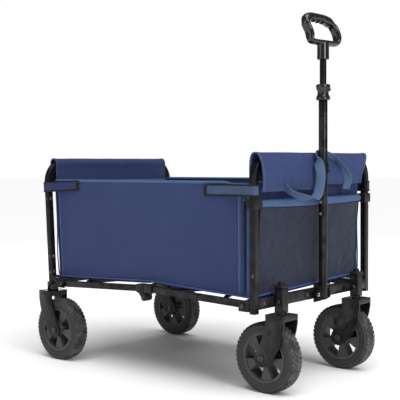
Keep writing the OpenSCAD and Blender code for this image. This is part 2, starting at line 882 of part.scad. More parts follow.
// Mesh pocket hung from a sleeve on the upper cross tube
module front_pocket() {
    half = post_y - 28;
    sleeve_t = 2;
    sleeve = upper_tube_d + 2 * sleeve_t;
    top = upper_tube_z - sleeve / 2 + 1.5;
    low = hem_z + 7;
    color("#33384a") at_front() {
        difference() {
            bar_y([0, upper_tube_z], sleeve, -half, half);
            bar_y([0, upper_tube_z], upper_tube_d, -half - 1, half + 1);
        }
        across(sleeve_t - half, half - sleeve_t) polygon([[3, top], [6, top + 1], [-6, low], [-9, low]]);
    }
}

// Gap under a corner strap, and how far its tabs reach along the side walls
strap_gap = 0.3;
front_tab = 166;
rear_tab = 118;

// Band of webbing along the side wall and round the outside of a post
module corner_strap(tab, dir) {
    t = 2;
    bulge = 1;
    end = post_y - 4;
    turn = -half_tube - 6;
    face = half_tube + strap_gap;
    wall = wall_y + cloth / 2 + strap_gap;
    outer = post_y + face;
    translate([0, 0, strap_z - strap_h / 2]) linear_extrude(strap_h) mirror([dir < 0 ? 1 : 0, 0]) polygon([
        [-tab, wall], [-tab / 2, wall + bulge], [turn, outer], [face, outer], [face, end], [face + t, end],
        [face + t, outer + t], [turn - 1, outer + t], [-tab / 2, wall + bulge + t], [-tab, wall + t]
    ]);
}

module front_corner_straps() {
    color("#2b3156") at_front() for (side = [LEFT, RIGHT])
        mirror([0, side < 0 ? 1 : 0, 0]) corner_strap(front_tab, 1);
}

module rear_corner_straps() {
    color("#2b3156") at_rear() for (side = [LEFT, RIGHT])
        mirror([0, side < 0 ? 1 : 0, 0]) corner_strap(rear_tab, -1);
}

// Route of the webbing loop in the YZ plane, lower edge and then upper edge
strap_low = [
    [-146, 500], [-112, 481], [-72, 471], [-36, 474], [-13, 500], [-7, 534], [-4, 558], [10, 580],
    [34, 582], [60, 576], [84, 560], [107, 538], [122, 514], [126, 505]
];
strap_high = [
    [142, 508], [138, 522], [121, 550], [98, 573], [72, 590], [36, 595], [0, 594], [-18, 572],
    [-21, 538], [-27, 512], [-42, 494], [-72, 489], [-110, 497], [-154, 514]
];
carry_gap = 0.4;
carry_t = 1.6;

module carry_strap() {
    x = front_x + half_tube + flap_out + flap_t + carry_gap;
    color("#7f93b2") translate([x, 0, 0]) rotate([90, 0, 90])
        linear_extrude(carry_t) polygon(concat(strap_low, strap_high));
}

front_hoop();
front_feet();
front_crossbar();
front_upper_tube();
front_knuckles();
front_hinge_brackets();
front_hinge_pins();
caster_housings();
housing_caps();
handle_bracket();
handle_pivot_bolt();
front_end_panel();
front_flap();
front_pocket();
carry_strap();
side_left();
side_right();
front_corner_straps();
front_rails();
front_brace();
front_floor_board();
centre_hinge_front();
rear_rails();
rear_brace();
rear_floor_board();
centre_hinge_rear();
centre_hinge_pins();
rear_hoop();
rear_crossbar();
rear_hinge_brackets();
rear_hinge_pins();
rear_fork_left();
rear_fork_right();
rear_axle_left();
rear_axle_right();
rear_end_panel();
rear_flap();
rear_corner_straps();
handle_tube();
lock_collar();
pole_rivets();
inner_tube();
grip();
lock_button();
front_fork_left();
front_fork_right();
front_stem_left();
front_stem_right();
front_axle_left();
front_axle_right();
tyre_front_left();
tyre_front_right();
tyre_rear_left();
tyre_rear_right();
hub_front_left();
hub_front_right();
hub_rear_left();
hub_rear_right();
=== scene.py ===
"""Looks of a folding camp wagon, built around its fixed frame.

Lengths are in metres unless they are written with MM. +X is the handle end, -Y is the wagon's left
side and +Z is up. Each sub-assembly is a class that reads its places from the frame.
"""
import json
import logging
import math
from dataclasses import dataclass, field
from enum import Enum
from typing import Callable, Iterable, Sequence

import bmesh
import bpy
from mathutils import Matrix, Vector, noise

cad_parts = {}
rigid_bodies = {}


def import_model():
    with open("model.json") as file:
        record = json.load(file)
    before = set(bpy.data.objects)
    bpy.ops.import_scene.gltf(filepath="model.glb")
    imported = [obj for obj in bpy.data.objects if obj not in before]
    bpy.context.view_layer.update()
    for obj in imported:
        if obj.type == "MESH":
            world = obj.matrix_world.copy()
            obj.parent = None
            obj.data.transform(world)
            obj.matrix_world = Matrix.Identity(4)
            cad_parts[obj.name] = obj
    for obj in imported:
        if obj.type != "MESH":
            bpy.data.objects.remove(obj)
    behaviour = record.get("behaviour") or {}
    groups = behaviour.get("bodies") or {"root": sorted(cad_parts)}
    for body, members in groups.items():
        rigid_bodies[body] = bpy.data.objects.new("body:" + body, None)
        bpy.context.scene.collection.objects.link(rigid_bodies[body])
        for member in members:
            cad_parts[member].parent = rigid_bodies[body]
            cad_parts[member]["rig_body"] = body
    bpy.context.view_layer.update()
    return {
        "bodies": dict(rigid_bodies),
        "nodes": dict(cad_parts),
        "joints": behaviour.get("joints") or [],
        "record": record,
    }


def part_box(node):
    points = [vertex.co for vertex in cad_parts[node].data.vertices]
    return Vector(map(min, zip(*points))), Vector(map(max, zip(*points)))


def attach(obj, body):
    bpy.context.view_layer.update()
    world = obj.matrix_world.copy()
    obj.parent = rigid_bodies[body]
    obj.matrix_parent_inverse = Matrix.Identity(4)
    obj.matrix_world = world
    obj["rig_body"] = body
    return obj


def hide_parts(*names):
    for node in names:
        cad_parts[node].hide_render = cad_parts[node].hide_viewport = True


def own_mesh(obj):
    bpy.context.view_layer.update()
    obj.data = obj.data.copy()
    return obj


LOG = logging.getLogger("camp_wagon")
MM = 0.001
LEFT = -1
RIGHT = 1
SIDE_NAMES = {LEFT: "left", RIGHT: "right"}
SAME_PLACE = 0.01 * MM
FLAT_ANGLE = math.radians(1.0)
POINTS_PER_SPAN = 24
TAPE_THICKNESS = 0.9 * MM
X_AXIS = Vector((1.0, 0.0, 0.0))
Y_AXIS = Vector((0.0, 1.0, 0.0))
Z_AXIS = Vector((0.0, 0.0, 1.0))
Colour = tuple[float, float, float]


# --------------------------------------------------------------------------- finishes


class Pattern(Enum):
    """What covers a surface."""

    GRAIN = "grain"
    WEAVE = "weave"
    WEBBING = "webbing"
    NET = "net"


@dataclass(frozen=True)
class Finish:
    """One finish: its colours, its gloss and the pattern that its surface carries.

    cell is the size of one grain, thread or net hole, depth is how far the pattern stands up, and
    wrinkles is how deep the small creases of a cloth are.
    """

    name: str
    slot: str
    colour: Colour
    shade: Colour
    pattern: Pattern
    roughness: float
    cell: float
    depth: float
    metallic: float = 0.0
    sheen: float = 0.0
    coat: float = 0.0
    wear_and_highlight: float = 0.0
    dust: float = 0.05
    specular: float = 0.22
    wrinkles: float = 0.0


FRAME = Finish("powder_coat", "frame_steel", (0.0035, 0.0035, 0.0038), (0.012, 0.012, 0.012),
               Pattern.GRAIN, 0.27, 0.9 * MM, 0.02 * MM, coat=0.07, wear_and_highlight=0.12, dust=0.02,
               specular=0.14)
PLASTIC = Finish("moulded_black", "black_plastic", (0.0045, 0.0046, 0.005), (0.03, 0.03, 0.031),
                 Pattern.GRAIN, 0.46, 0.7 * MM, 0.06 * MM, wear_and_highlight=0.1)
GRIP_FINISH = Finish("glossy_grip", "grip_plastic", (0.004, 0.0041, 0.0044), (0.008, 0.008, 0.0085),
                     Pattern.GRAIN, 0.2, 1.4 * MM, 0.002 * MM, coat=0.3, dust=0.02, specular=0.5)
FORK_FINISH = Finish("fork_enamel", "fork_steel", (0.006, 0.006, 0.0063), (0.02, 0.02, 0.02),
                     Pattern.GRAIN, 0.24, 1.1 * MM, 0.008 * MM, coat=0.1, wear_and_highlight=0.1, dust=0.006,
                     specular=0.16)
ZINC = Finish("zinc_plate", "bolt_steel", (0.62, 0.62, 0.61), (0.36, 0.35, 0.33),
              Pattern.GRAIN, 0.27, 0.5 * MM, 0.02 * MM, metallic=1.0, wear_and_highlight=0.3, specular=0.5)
BLACK_BOLT = Finish("black_bolt", "bolt_steel", (0.035, 0.035, 0.036), (0.09, 0.09, 0.09),
                    Pattern.GRAIN, 0.3, 0.5 * MM, 0.02 * MM, metallic=0.6, wear_and_highlight=0.6)
NAVY = Finish("navy_cloth", "basket_cloth", (0.037, 0.055, 0.155), (0.016, 0.025, 0.076),
              Pattern.WEAVE, 0.7, 1.0 * MM, 0.16 * MM, sheen=0.08, wrinkles=1.0 * MM)
NAVY_FRONT = Finish("navy_cloth_folded", "basket_cloth", (0.032, 0.056, 0.162), (0.014, 0.025, 0.076),
                    Pattern.WEAVE, 0.62, 1.0 * MM, 0.16 * MM, sheen=0.1, wrinkles=2.6 * MM)
LIGHT_TAPE = Finish("light_tape", "basket_cloth", (0.068, 0.128, 0.262), (0.038, 0.075, 0.17),
                    Pattern.WEBBING, 0.62, 0.9 * MM, 0.16 * MM, sheen=0.1)
EDGE_TAPE = Finish("edge_tape", "basket_cloth", (0.045, 0.078, 0.185), (0.026, 0.046, 0.115),
                   Pattern.WEBBING, 0.62, 0.9 * MM, 0.16 * MM, sheen=0.1)
BLUE_PIPING = Finish("blue_piping", "basket_cloth", (0.036, 0.085, 0.27), (0.02, 0.045, 0.16),
                     Pattern.GRAIN, 0.55, 0.8 * MM, 0.08 * MM, sheen=0.1)
WEBBING = Finish("navy_webbing", "webbing", (0.026, 0.040, 0.105), (0.014, 0.022, 0.06),
                 Pattern.WEBBING, 0.66, 1.5 * MM, 0.28 * MM, sheen=0.1)
# A lighter copy of the navy webbing: painted light for the front left strap, which faces the light.
WEBBING_PAINTED_LIGHT = Finish("webbing_painted_light", "webbing", (0.062, 0.095, 0.175), (0.035, 0.055, 0.11),
                      Pattern.WEBBING, 0.66, 1.5 * MM, 0.28 * MM, sheen=0.1)
CARRY_WEBBING = Finish("carry_webbing", "strap_webbing", (0.075, 0.132, 0.235), (0.042, 0.078, 0.15),
                       Pattern.WEBBING, 0.6, 1.5 * MM, 0.26 * MM, sheen=0.1, wrinkles=1.0 * MM)
BLACK_TAPE = Finish("black_tape", "webbing", (0.006, 0.006, 0.007), (0.02, 0.02, 0.021),
                    Pattern.WEBBING, 0.7, 0.9 * MM, 0.15 * MM, sheen=0.05)
POCKET_NET = Finish("pocket_net", "pocket_mesh", (0.018, 0.0245, 0.049), (0.006, 0.008, 0.017),
                    Pattern.NET, 0.55, 1.6 * MM, 0.25 * MM, sheen=0.14, wrinkles=3.0 * MM)
THREAD = Finish("sewing_thread", "basket_cloth", (0.055, 0.078, 0.18), (0.035, 0.05, 0.12),
                Pattern.GRAIN, 0.6, 0.5 * MM, 0.05 * MM)
BOARD_CLOTH = Finish("board_cloth", "floor_board", (0.024, 0.032, 0.08), (0.013, 0.018, 0.046),
                     Pattern.WEAVE, 0.78, 1.2 * MM, 0.16 * MM, sheen=0.08)
BUTTON = Finish("button_grey", "button_plastic", (0.03, 0.031, 0.033), (0.07, 0.07, 0.074),
                Pattern.GRAIN, 0.38, 0.6 * MM, 0.03 * MM)
# The tyre's large edge amount paints the tread-block edges lighter: partly rubbed rubber, partly painted
# highlight.
TYRE = Finish("tyre_rubber", "tyre", (0.019, 0.0198, 0.0212), (0.012, 0.0125, 0.013),
              Pattern.GRAIN, 0.5, 1.3 * MM, 0.09 * MM, wear_and_highlight=0.4, dust=0.1, specular=0.35)
HUB = Finish("hub_grey", "hub_plastic", (0.040, 0.042, 0.044), (0.075, 0.078, 0.08),
             Pattern.GRAIN, 0.45, 0.9 * MM, 0.05 * MM, wear_and_highlight=0.2, dust=0.12, specular=0.4)


class Graph:
    """A small helper that adds nodes to one node tree and links them."""

    def __init__(self, tree: bpy.types.NodeTree) -> None:
        """Keeps the tree that the nodes go into."""
        self.tree = tree

    def node(self, kind: str, **settings: object) -> bpy.types.Node:
        """Adds a node.

        Args:
            kind: the node type's name.
            **settings: properties to set on it.

        Returns:
            The new node.
        """
        made = self.tree.nodes.new(kind)
        for key, value in settings.items():
            setattr(made, key, value)
        return made

    def feed(self, target: bpy.types.NodeSocket, value: object) -> None:
        """Links a socket to the target, or sets the target's own value.

        Args:
            target: the socket that gets the value.
            value: a socket, a number or a colour.
        """
        if isinstance(value, bpy.types.NodeSocket):
            self.tree.links.new(value, target)
        else:
            target.default_value = value

    def math(self, operation: str, *values: object, clamp: bool = False) -> bpy.types.NodeSocket:
        """Adds a Math node.

        Args:
            operation: the node's operation.
            *values: sockets or numbers for its inputs.
            clamp: whether the result is kept from 0 to 1.

        Returns:
            The node's output.
        """
        made = self.node("ShaderNodeMath", operation=operation, use_clamp=clamp)
        for socket, value in zip(made.inputs, values):
            self.feed(socket, value)
        return made.outputs[0]

    def mix(self, share: object, first: object, second: object) -> bpy.types.NodeSocket:
        """Adds a colour mix.

        Args:
            share: how much of the second colour shows.
            first: the first colour.
            second: the second colour.

        Returns:
            The mixed colour.
        """
        made = self.node("ShaderNodeMix", data_type="RGBA")
        self.feed(made.inputs[0], share)
        self.feed(made.inputs[6], first)
        self.feed(made.inputs[7], second)
        return made.outputs[2]

    def spread(self, value: object, low: float, high: float) -> bpy.types.NodeSocket:
        """Maps 0 to 1 onto low to high.

        Args:
            value: the value to map.
            low: what 0 becomes.
            high: what 1 becomes.

        Returns:
            The mapped value.
        """
        made = self.node("ShaderNodeMapRange")
        self.feed(made.inputs[0], value)
        made.inputs[3].default_value = low
        made.inputs[4].default_value = high
        return made.outputs[0]

    def noise(self, vector: object, scale: object, detail: float) -> bpy.types.NodeSocket:
        """Adds a noise texture.

        Args:
            vector: where it is read.
            scale: how many features a metre holds.
            detail: how many finer layers it has.

        Returns:
            The noise's value, from 0 to 1.
        """
        made = self.node("ShaderNodeTexNoise")
        self.feed(made.inputs["Vector"], vector)
        self.feed(made.inputs["Scale"], scale)
        made.inputs["Detail"].default_value = detail
        return made.outputs["Fac"]


class Effects:
    """The node groups that several finishes share."""

    def __init__(self) -> None:
        """Builds each group once."""
        self.by_pattern = {
            Pattern.GRAIN: self._grain(),
            Pattern.WEAVE: self._weave(),
            Pattern.WEBBING: self._webbing(),
            Pattern.NET: self._net(),
        }
        self.wear_and_highlight = self._wear_and_highlight()
        self.dust = self._dust()
        self.clouds = self._clouds()
        self.creases = self._creases()

    def _group(self, name: str, inputs: Sequence[str], outputs: Sequence[str]) -> tuple:
        """Starts a group.

        Args:
            name: the group's name.
            inputs: its inputs; Vector is a vector and the rest are numbers.
            outputs: its outputs, all numbers.

        Returns:
            The group, its graph, its input node and its output node.
        """
        tree = bpy.data.node_groups.new(name, "ShaderNodeTree")
        for title in inputs:
            kind = "NodeSocketVector" if title == "Vector" else "NodeSocketFloat"
            tree.interface.new_socket(title, in_out="INPUT", socket_type=kind)
        for title in outputs:
            tree.interface.new_socket(title, in_out="OUTPUT", socket_type="NodeSocketFloat")
        graph = Graph(tree)
        return tree, graph, graph.node("NodeGroupInput"), graph.node("NodeGroupOutput")

    def _grain(self) -> bpy.types.NodeTree:
        """Fine pebbles, as on powder coat, moulded plastic or rubber.

        Returns:
            The group.
        """
        tree, graph, source, result = self._group("grain", ["Vector", "Cell"], ["Height", "Shade"])
        scale = graph.math("DIVIDE", 1.0, source.outputs["Cell"])
        fine = graph.noise(source.outputs["Vector"], scale, 2.0)
        broad = graph.noise(source.outputs["Vector"], graph.math("MULTIPLY", scale, 0.06), 3.0)
        graph.feed(result.inputs["Height"], fine)
        graph.feed(result.inputs["Shade"], graph.math("MULTIPLY", fine, broad))
        return tree

    def _threads(self, graph: Graph, source: bpy.types.Node) -> tuple:
        """Waves across and along the threads of a cloth.

        Args:
            graph: the group's graph.
            source: the group's input node.

        Returns:
            The sine across, the sine along, and their sizes.
        """
        split = graph.node("ShaderNodeSeparateXYZ")
        graph.feed(split.inputs[0], source.outputs["Vector"])
        turns = graph.math("DIVIDE", math.pi, source.outputs["Cell"])
        across = graph.math("SINE", graph.math("MULTIPLY", split.outputs[0], turns))
        along = graph.math("SINE", graph.math("MULTIPLY", split.outputs[1], turns))
        return across, along, graph.math("ABSOLUTE", across), graph.math("ABSOLUTE", along)

    def _weave(self) -> bpy.types.NodeTree:
        """Plain weave, one thread over and one under, with painted shade in the hollows between the threads.

        Returns:
            The group.
        """
        tree, graph, source, result = self._group("weave", ["Vector", "Cell"], ["Height", "Shade"])
        across, along, warp, weft = self._threads(graph, source)
        over = graph.math("MULTIPLY_ADD", graph.math("MULTIPLY", across, along), 3.0, 0.5, clamp=True)
        first = graph.math("MULTIPLY", warp, over)
        second = graph.math("MULTIPLY", weft, graph.math("SUBTRACT", 1.0, over))
        height = graph.math("ADD", first, second)
        slubs = graph.noise(source.outputs["Vector"], 260.0, 3.0)
        graph.feed(result.inputs["Height"], graph.math("MULTIPLY", height, graph.math("ADD", slubs, 0.5)))
        graph.feed(result.inputs["Shade"], graph.math("SUBTRACT", 1.0, height, clamp=True))
        return tree

    def _webbing(self) -> bpy.types.NodeTree:
        """Ribs that run along a strap, crossed by finer threads, with painted shade in the hollows between
        ribs and threads.

        Returns:
            The group.
        """
        tree, graph, source, result = self._group("webbing", ["Vector", "Cell"], ["Height", "Shade"])
        _, _, warp, weft = self._threads(graph, source)
        height = graph.math("MULTIPLY_ADD", weft, 0.35, graph.math("MULTIPLY", warp, 0.65))
        graph.feed(result.inputs["Height"], height)
        graph.feed(result.inputs["Shade"], graph.math("SUBTRACT", 1.0, height, clamp=True))
        return tree

    def _net(self) -> bpy.types.NodeTree:
        """Knitted net with small round holes, which are painted dark as painted shade instead of being cut
        through.

        Returns:
            The group.
        """
        tree, graph, source, result = self._group("net", ["Vector", "Cell"], ["Height", "Shade"])
        across, along, _, _ = self._threads(graph, source)
        holes = graph.math("MULTIPLY_ADD", graph.math("MULTIPLY", across, along), 2.5, -0.4, clamp=True)
        graph.feed(result.inputs["Height"], graph.math("SUBTRACT", 1.0, holes))
        graph.feed(result.inputs["Shade"], holes)
        return tree

    def _wear_and_highlight(self) -> bpy.types.NodeTree:
        """Where a finish is rubbed, and where edges are painted lighter as highlights: along the edges that
        stand out, in patches.

        Returns:
            The group.
        """
        tree, graph, source, result = self._group("edge_wear_and_highlight", ["Vector", "Amount"], ["Mask"])
        edge = graph.math("MULTIPLY_ADD", graph.node("ShaderNodeNewGeometry").outputs["Pointiness"],
                          14.0, -7.25, clamp=True)
        patches = graph.math("MULTIPLY_ADD", graph.noise(source.outputs["Vector"], 45.0, 4.0),
                             3.0, -1.1, clamp=True)
        mask = graph.math("MULTIPLY", graph.math("MULTIPLY", edge, patches), source.outputs["Amount"])
        graph.feed(result.inputs["Mask"], mask)
        return tree

    def _dust(self) -> bpy.types.NodeTree:
        """Thin dust that thickens towards the ground.

        Returns:
            The group.
        """
        tree, graph, source, result = self._group("dust", ["Vector", "Amount"], ["Mask"])
        split = graph.node("ShaderNodeSeparateXYZ")
        graph.feed(split.inputs[0], source.outputs["Vector"])
        low = graph.math("MULTIPLY_ADD", split.outputs[2], -2.2, 1.1, clamp=True)
        patches = graph.noise(source.outputs["Vector"], 30.0, 5.0)
        mask = graph.math("MULTIPLY", graph.math("MULTIPLY", low, patches), source.outputs["Amount"])
        graph.feed(result.inputs["Mask"], mask)
        return tree

    def _clouds(self) -> bpy.types.NodeTree:
        """Broad, soft changes of tone.

        Returns:
            The group.
        """
        tree, graph, source, result = self._group("clouds", ["Vector"], ["Mask"])
        soft = graph.noise(source.outputs["Vector"], 7.0, 3.0)
        graph.feed(result.inputs["Mask"], graph.math("MULTIPLY_ADD", soft, 1.6, -0.3, clamp=True))
        return tree

    def _creases(self) -> bpy.types.NodeTree:
        """Small creases, as cloth keeps from being folded away.

        Returns:
            The group.
        """
        tree, graph, source, result = self._group("creases", ["Vector"], ["Height"])
        bent = graph.node("ShaderNodeTexNoise")
        graph.feed(bent.inputs["Vector"], source.outputs["Vector"])
        graph.feed(bent.inputs["Scale"], 9.0)
        graph.feed(bent.inputs["Detail"], 3.5)
        graph.feed(bent.inputs["Distortion"], 1.1)
        ridge = graph.math("ABSOLUTE", graph.math("SUBTRACT", bent.outputs["Fac"], 0.5))
        graph.feed(result.inputs["Height"], graph.math("MULTIPLY", ridge, 4.0, clamp=True))
        return tree


@dataclass(frozen=True)
class Unevenness:
    """How a surface strays from its finish.

    The first two are how much of the shade the pattern and the clouds let through. The other two are how
    far the roughness goes below and above the finish's own.
    """

    pattern_share: float
    cloud_share: float
    smoother: float
    rougher: float


class Palette:
    """Makes each finish's material once."""

    CLOTH = Unevenness(0.55, 0.24, 0.05, 0.09)
    HARD = Unevenness(0.14, 0.07, 0.02, 0.03)
    PATTERN_IN_GLOSS = 0.14
    DUST_COLOUR = (0.16, 0.15, 0.135, 1.0)
    RUBBED_AND_HIGHLIGHT_COLOUR = (0.3, 0.3, 0.3, 1.0)
    SHEEN_TINT = (0.75, 0.82, 1.0, 1.0)
    SHEEN_ROUGHNESS = 0.4
    COAT_ROUGHNESS = 0.12

    def __init__(self) -> None:
        """Builds the shared effects."""
        self.effects = Effects()
        self.made: dict[str, bpy.types.Material] = {}

    def material(self, finish: Finish) -> bpy.types.Material:
        """Returns the finish's material, which is built the first time."""
        if finish.name not in self.made:
            self.made[finish.name] = self._build(finish)
        return self.made[finish.name]

    def _place(self, graph: Graph, tree: bpy.types.NodeTree, **inputs: object) -> bpy.types.Node:
        """Places a shared group in a material.

        Args:
            graph: the material's graph.
            tree: the group.
            **inputs: what its inputs get.

        Returns:
            The group's node.
        """
        made = graph.node("ShaderNodeGroup", node_tree=tree)
        for title, value in inputs.items():
            graph.feed(made.inputs[title], value)
        return made

    def _build(self, finish: Finish) -> bpy.types.Material:
        """Builds one material.

        Args:
            finish: what it looks like.

        Returns:
            The new material.
        """
        material = bpy.data.materials.new(finish.name)
        material.use_nodes = True
        graph = Graph(material.node_tree)
        shader = material.node_tree.nodes["Principled BSDF"]
        where = graph.node("ShaderNodeTexCoord")
        solid = where.outputs["Object"]
        is_cloth = finish.pattern is not Pattern.GRAIN
        uneven = self.CLOTH if is_cloth else self.HARD
        pattern = self._place(graph, self.effects.by_pattern[finish.pattern],
                              Vector=where.outputs["UV"] if is_cloth else solid, Cell=finish.cell)
        clouds = self._place(graph, self.effects.clouds, Vector=solid).outputs["Mask"]
        wear_and_highlight = self._place(graph, self.effects.wear_and_highlight, Vector=solid, Amount=finish.wear_and_highlight).outputs["Mask"]
        dust = self._place(graph, self.effects.dust, Vector=solid, Amount=finish.dust).outputs["Mask"]
        shade = (*finish.shade, 1.0)
        # For cloth the pattern's Shade is painted shade in the hollows between threads and in the net's
        # holes.
        in_pattern = graph.math("MULTIPLY", pattern.outputs["Shade"], uneven.pattern_share)
        base = graph.mix(in_pattern, (*finish.colour, 1.0), shade)
        base = graph.mix(graph.math("MULTIPLY", clouds, uneven.cloud_share), base, shade)
        # Lightens the edges that stand out: a rubbed finish, and on the tyre also a painted highlight.
        base = graph.mix(wear_and_highlight, base, self.RUBBED_AND_HIGHLIGHT_COLOUR)
        graph.feed(shader.inputs["Base Color"], graph.mix(dust, base, self.DUST_COLOUR))
        changes = graph.math("MULTIPLY_ADD", pattern.outputs["Shade"], self.PATTERN_IN_GLOSS, clouds)
        rough = graph.spread(changes, finish.roughness - uneven.smoother, finish.roughness + uneven.rougher)
        graph.feed(shader.inputs["Roughness"], graph.math("ADD", rough, dust, clamp=True))
        height = pattern.outputs["Height"]
        if finish.wrinkles:
            creases = self._place(graph, self.effects.creases, Vector=solid).outputs["Height"]
            height = graph.math("MULTIPLY_ADD", creases, finish.wrinkles / finish.depth, height)
        bump = graph.node("ShaderNodeBump")
        bump.inputs["Distance"].default_value = finish.depth
        bump.inputs["Strength"].default_value = 1.0
        graph.feed(bump.inputs["Height"], height)
        graph.feed(shader.inputs["Normal"], bump.outputs["Normal"])
        for title, value in (("Metallic", finish.metallic), ("Specular IOR Level", finish.specular),
                             ("Sheen Weight", finish.sheen), ("Sheen Roughness", self.SHEEN_ROUGHNESS),
                             ("Sheen Tint", self.SHEEN_TINT), ("Coat Weight", finish.coat),
                             ("Coat Roughness", self.COAT_ROUGHNESS)):
            shader.inputs[title].default_value = value
        return material


# --------------------------------------------------------------------------- shapes


def shares(count: int) -> list[float]:
    """Returns the shares from 0 to 1 that cut a length into a number of equal steps."""
    return [k / count for k in range(count + 1)]


def length_of(line: Sequence[Vector]) -> float:
    """Returns the length of a line of points."""
    return sum((b - a).length for a, b in zip(line, line[1:]))


def middle_of(node: str) -> Vector:
    """Returns the middle of a CAD node's box."""
    return sum(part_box(node), Vector()) / 2


def turn_between(before: Vector, after: Vector) -> Matrix:
    """Returns the turn that takes one direction to another."""
    return before.rotation_difference(after).to_matrix().to_4x4()


def ease(value: float) -> float:
    """Turns 0 to 1 into a smooth step, and keeps what is outside at its end."""
    kept = min(1.0, max(0.0, value))
    return kept * kept * (3.0 - 2.0 * kept)


def curve_through(points: Sequence[Sequence[float]], count: int, closed: bool = False) -> list[Vector]:
    """Runs a smooth line through points.

    Args:
        points: the points, of two or more numbers each.
        count: how many points come back.
        closed: whether the line returns to its start.

    Returns:
        Points evenly spaced along the line.
    """
    keys = [Vector(p) for p in points]
    total = len(keys)
    spans = total if closed else total - 1
    dense: list[Vector] = []
    for span in range(spans):
        around = [(span + k) % total if closed else min(max(span + k, 0), total - 1)
                  for k in (-1, 0, 1, 2)]
        a, b, c, d = (keys[k] for k in around)
        for step in range(POINTS_PER_SPAN):
            t = step / POINTS_PER_SPAN
            dense.append(0.5 * (2 * b + (c - a) * t + (2 * a - 5 * b + 4 * c - d) * t * t
                                + (3 * b - a - 3 * c + d) * t ** 3))
    dense.append(keys[0].copy() if closed else keys[-1].copy())
    return evenly(dense, count, closed)


def evenly(line: Sequence[Vector], count: int, closed: bool = False) -> list[Vector]:
    """Spaces points evenly along a line.

    Args:
        line: the line's own points.
        count: how many come back.
        closed: whether the last point is left out because it is the first.

    Returns:
        The evenly spaced points.
    """
    lengths = [0.0]
    for first, second in zip(line, line[1:]):
        lengths.append(lengths[-1] + (second - first).length)
    steps = count if closed else count - 1
    found: list[Vector] = []
    at = 0
    for step in range(count):
        want = lengths[-1] * step / steps
        while at < len(line) - 2 and lengths[at + 1] < want:
            at += 1
        gap = max(lengths[at + 1] - lengths[at], 1e-12)
        found.append(line[at].lerp(line[at + 1], min(1.0, (want - lengths[at]) / gap)))
    return found


def ripple(point: Vector, scale: float, seed: float = 0.0) -> float:
    """Returns a smooth value from about -1 to 1 that changes over the given length scale."""
    return noise.noise(point / scale + Vector((seed, 1.7 * seed, 0.3 * seed)))


class Workshop:
    """Turns meshes into named pieces that carry a finish and ride a body."""

    def __init__(self, frame: dict) -> None:
        """Keeps the frame's nodes and makes the palette."""
        self.nodes = frame["nodes"]
        self.palette = Palette()

    def piece(self, name: str, mesh: bpy.types.Mesh, finish: Finish, body: str,
              stands_for: Iterable[str] = ()) -> bpy.types.Object:
        """Makes a piece.

        Args:
            name: the piece's name.
            mesh: its finished mesh.
            finish: its finish.
            body: the body that it rides.
            stands_for: CAD nodes that it replaces.

        Returns:
            The piece's object.
        """
        piece = bpy.data.objects.new(name, mesh)
        bpy.context.scene.collection.objects.link(piece)
        self.coat(mesh, finish)
        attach(piece, body)
        for node in stands_for:
            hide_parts(node)
        LOG.info("%s rides %s, %d faces", name, body, len(mesh.polygons))
        return piece

    def softened(self, node: str, finish: Finish, width: float, name: str = "") -> bpy.types.Object:
        """Copies a CAD node with its edges rounded.

        Args:
            node: the node to copy and replace.
            finish: the copy's finish.
            width: how far the rounding reaches from each edge.
            name: the piece's name; the node's own with a suffix when it is empty.

        Returns:
            The new piece.
        """
        source = self.nodes[node]
        shape = bmesh.new()
        shape.from_mesh(source.data)
        bmesh.ops.remove_doubles(shape, verts=shape.verts, dist=SAME_PLACE)
        bmesh.ops.dissolve_limit(shape, angle_limit=FLAT_ANGLE, verts=shape.verts, edges=shape.edges)
        mesh = bpy.data.meshes.new(node)
        shape.to_mesh(mesh)
        shape.free()
        piece = self.piece(name or f"{node}_finished", mesh, finish, source["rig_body"], [node])
        round_edges(piece, width)
        return piece

    def coat(self, mesh: bpy.types.Mesh, finish: Finish) -> None:
        """Gives a mesh of a new piece its finish and smooth shading."""
        mesh.materials.clear()
        mesh.materials.append(self.palette.material(finish))
        mesh.polygons.foreach_set("use_smooth", [True] * len(mesh.polygons))


def round_edges(piece: bpy.types.Object, width: float, segments: int = 2, angle: float = 32.0) -> None:
    """Rounds a piece's sharp edges with a bevel that keeps the flat faces flat.

    Args:
        piece: the piece.
        width: how far the rounding reaches from each edge.
        segments: how many faces round an edge.
        angle: the angle in degrees past which an edge counts as sharp.
    """
    bevel = piece.modifiers.new("rounded_edges", "BEVEL")
    bevel.width = width
    bevel.segments = segments
    bevel.limit_method = "ANGLE"
    bevel.angle_limit = math.radians(angle)
    bevel.harden_normals = True
    bevel.use_clamp_overlap = True


def thicken(piece: bpy.types.Object, thickness: float) -> None:
    """Gives a sheet its thickness, half to each side.

    Args:
        piece: the sheet.
        thickness: its thickness.
    """
    wall = piece.modifiers.new("thickness", "SOLIDIFY")
    wall.thickness = thickness
    wall.offset = 0.0
    wall.use_rim = True
    wall.use_even_offset = True


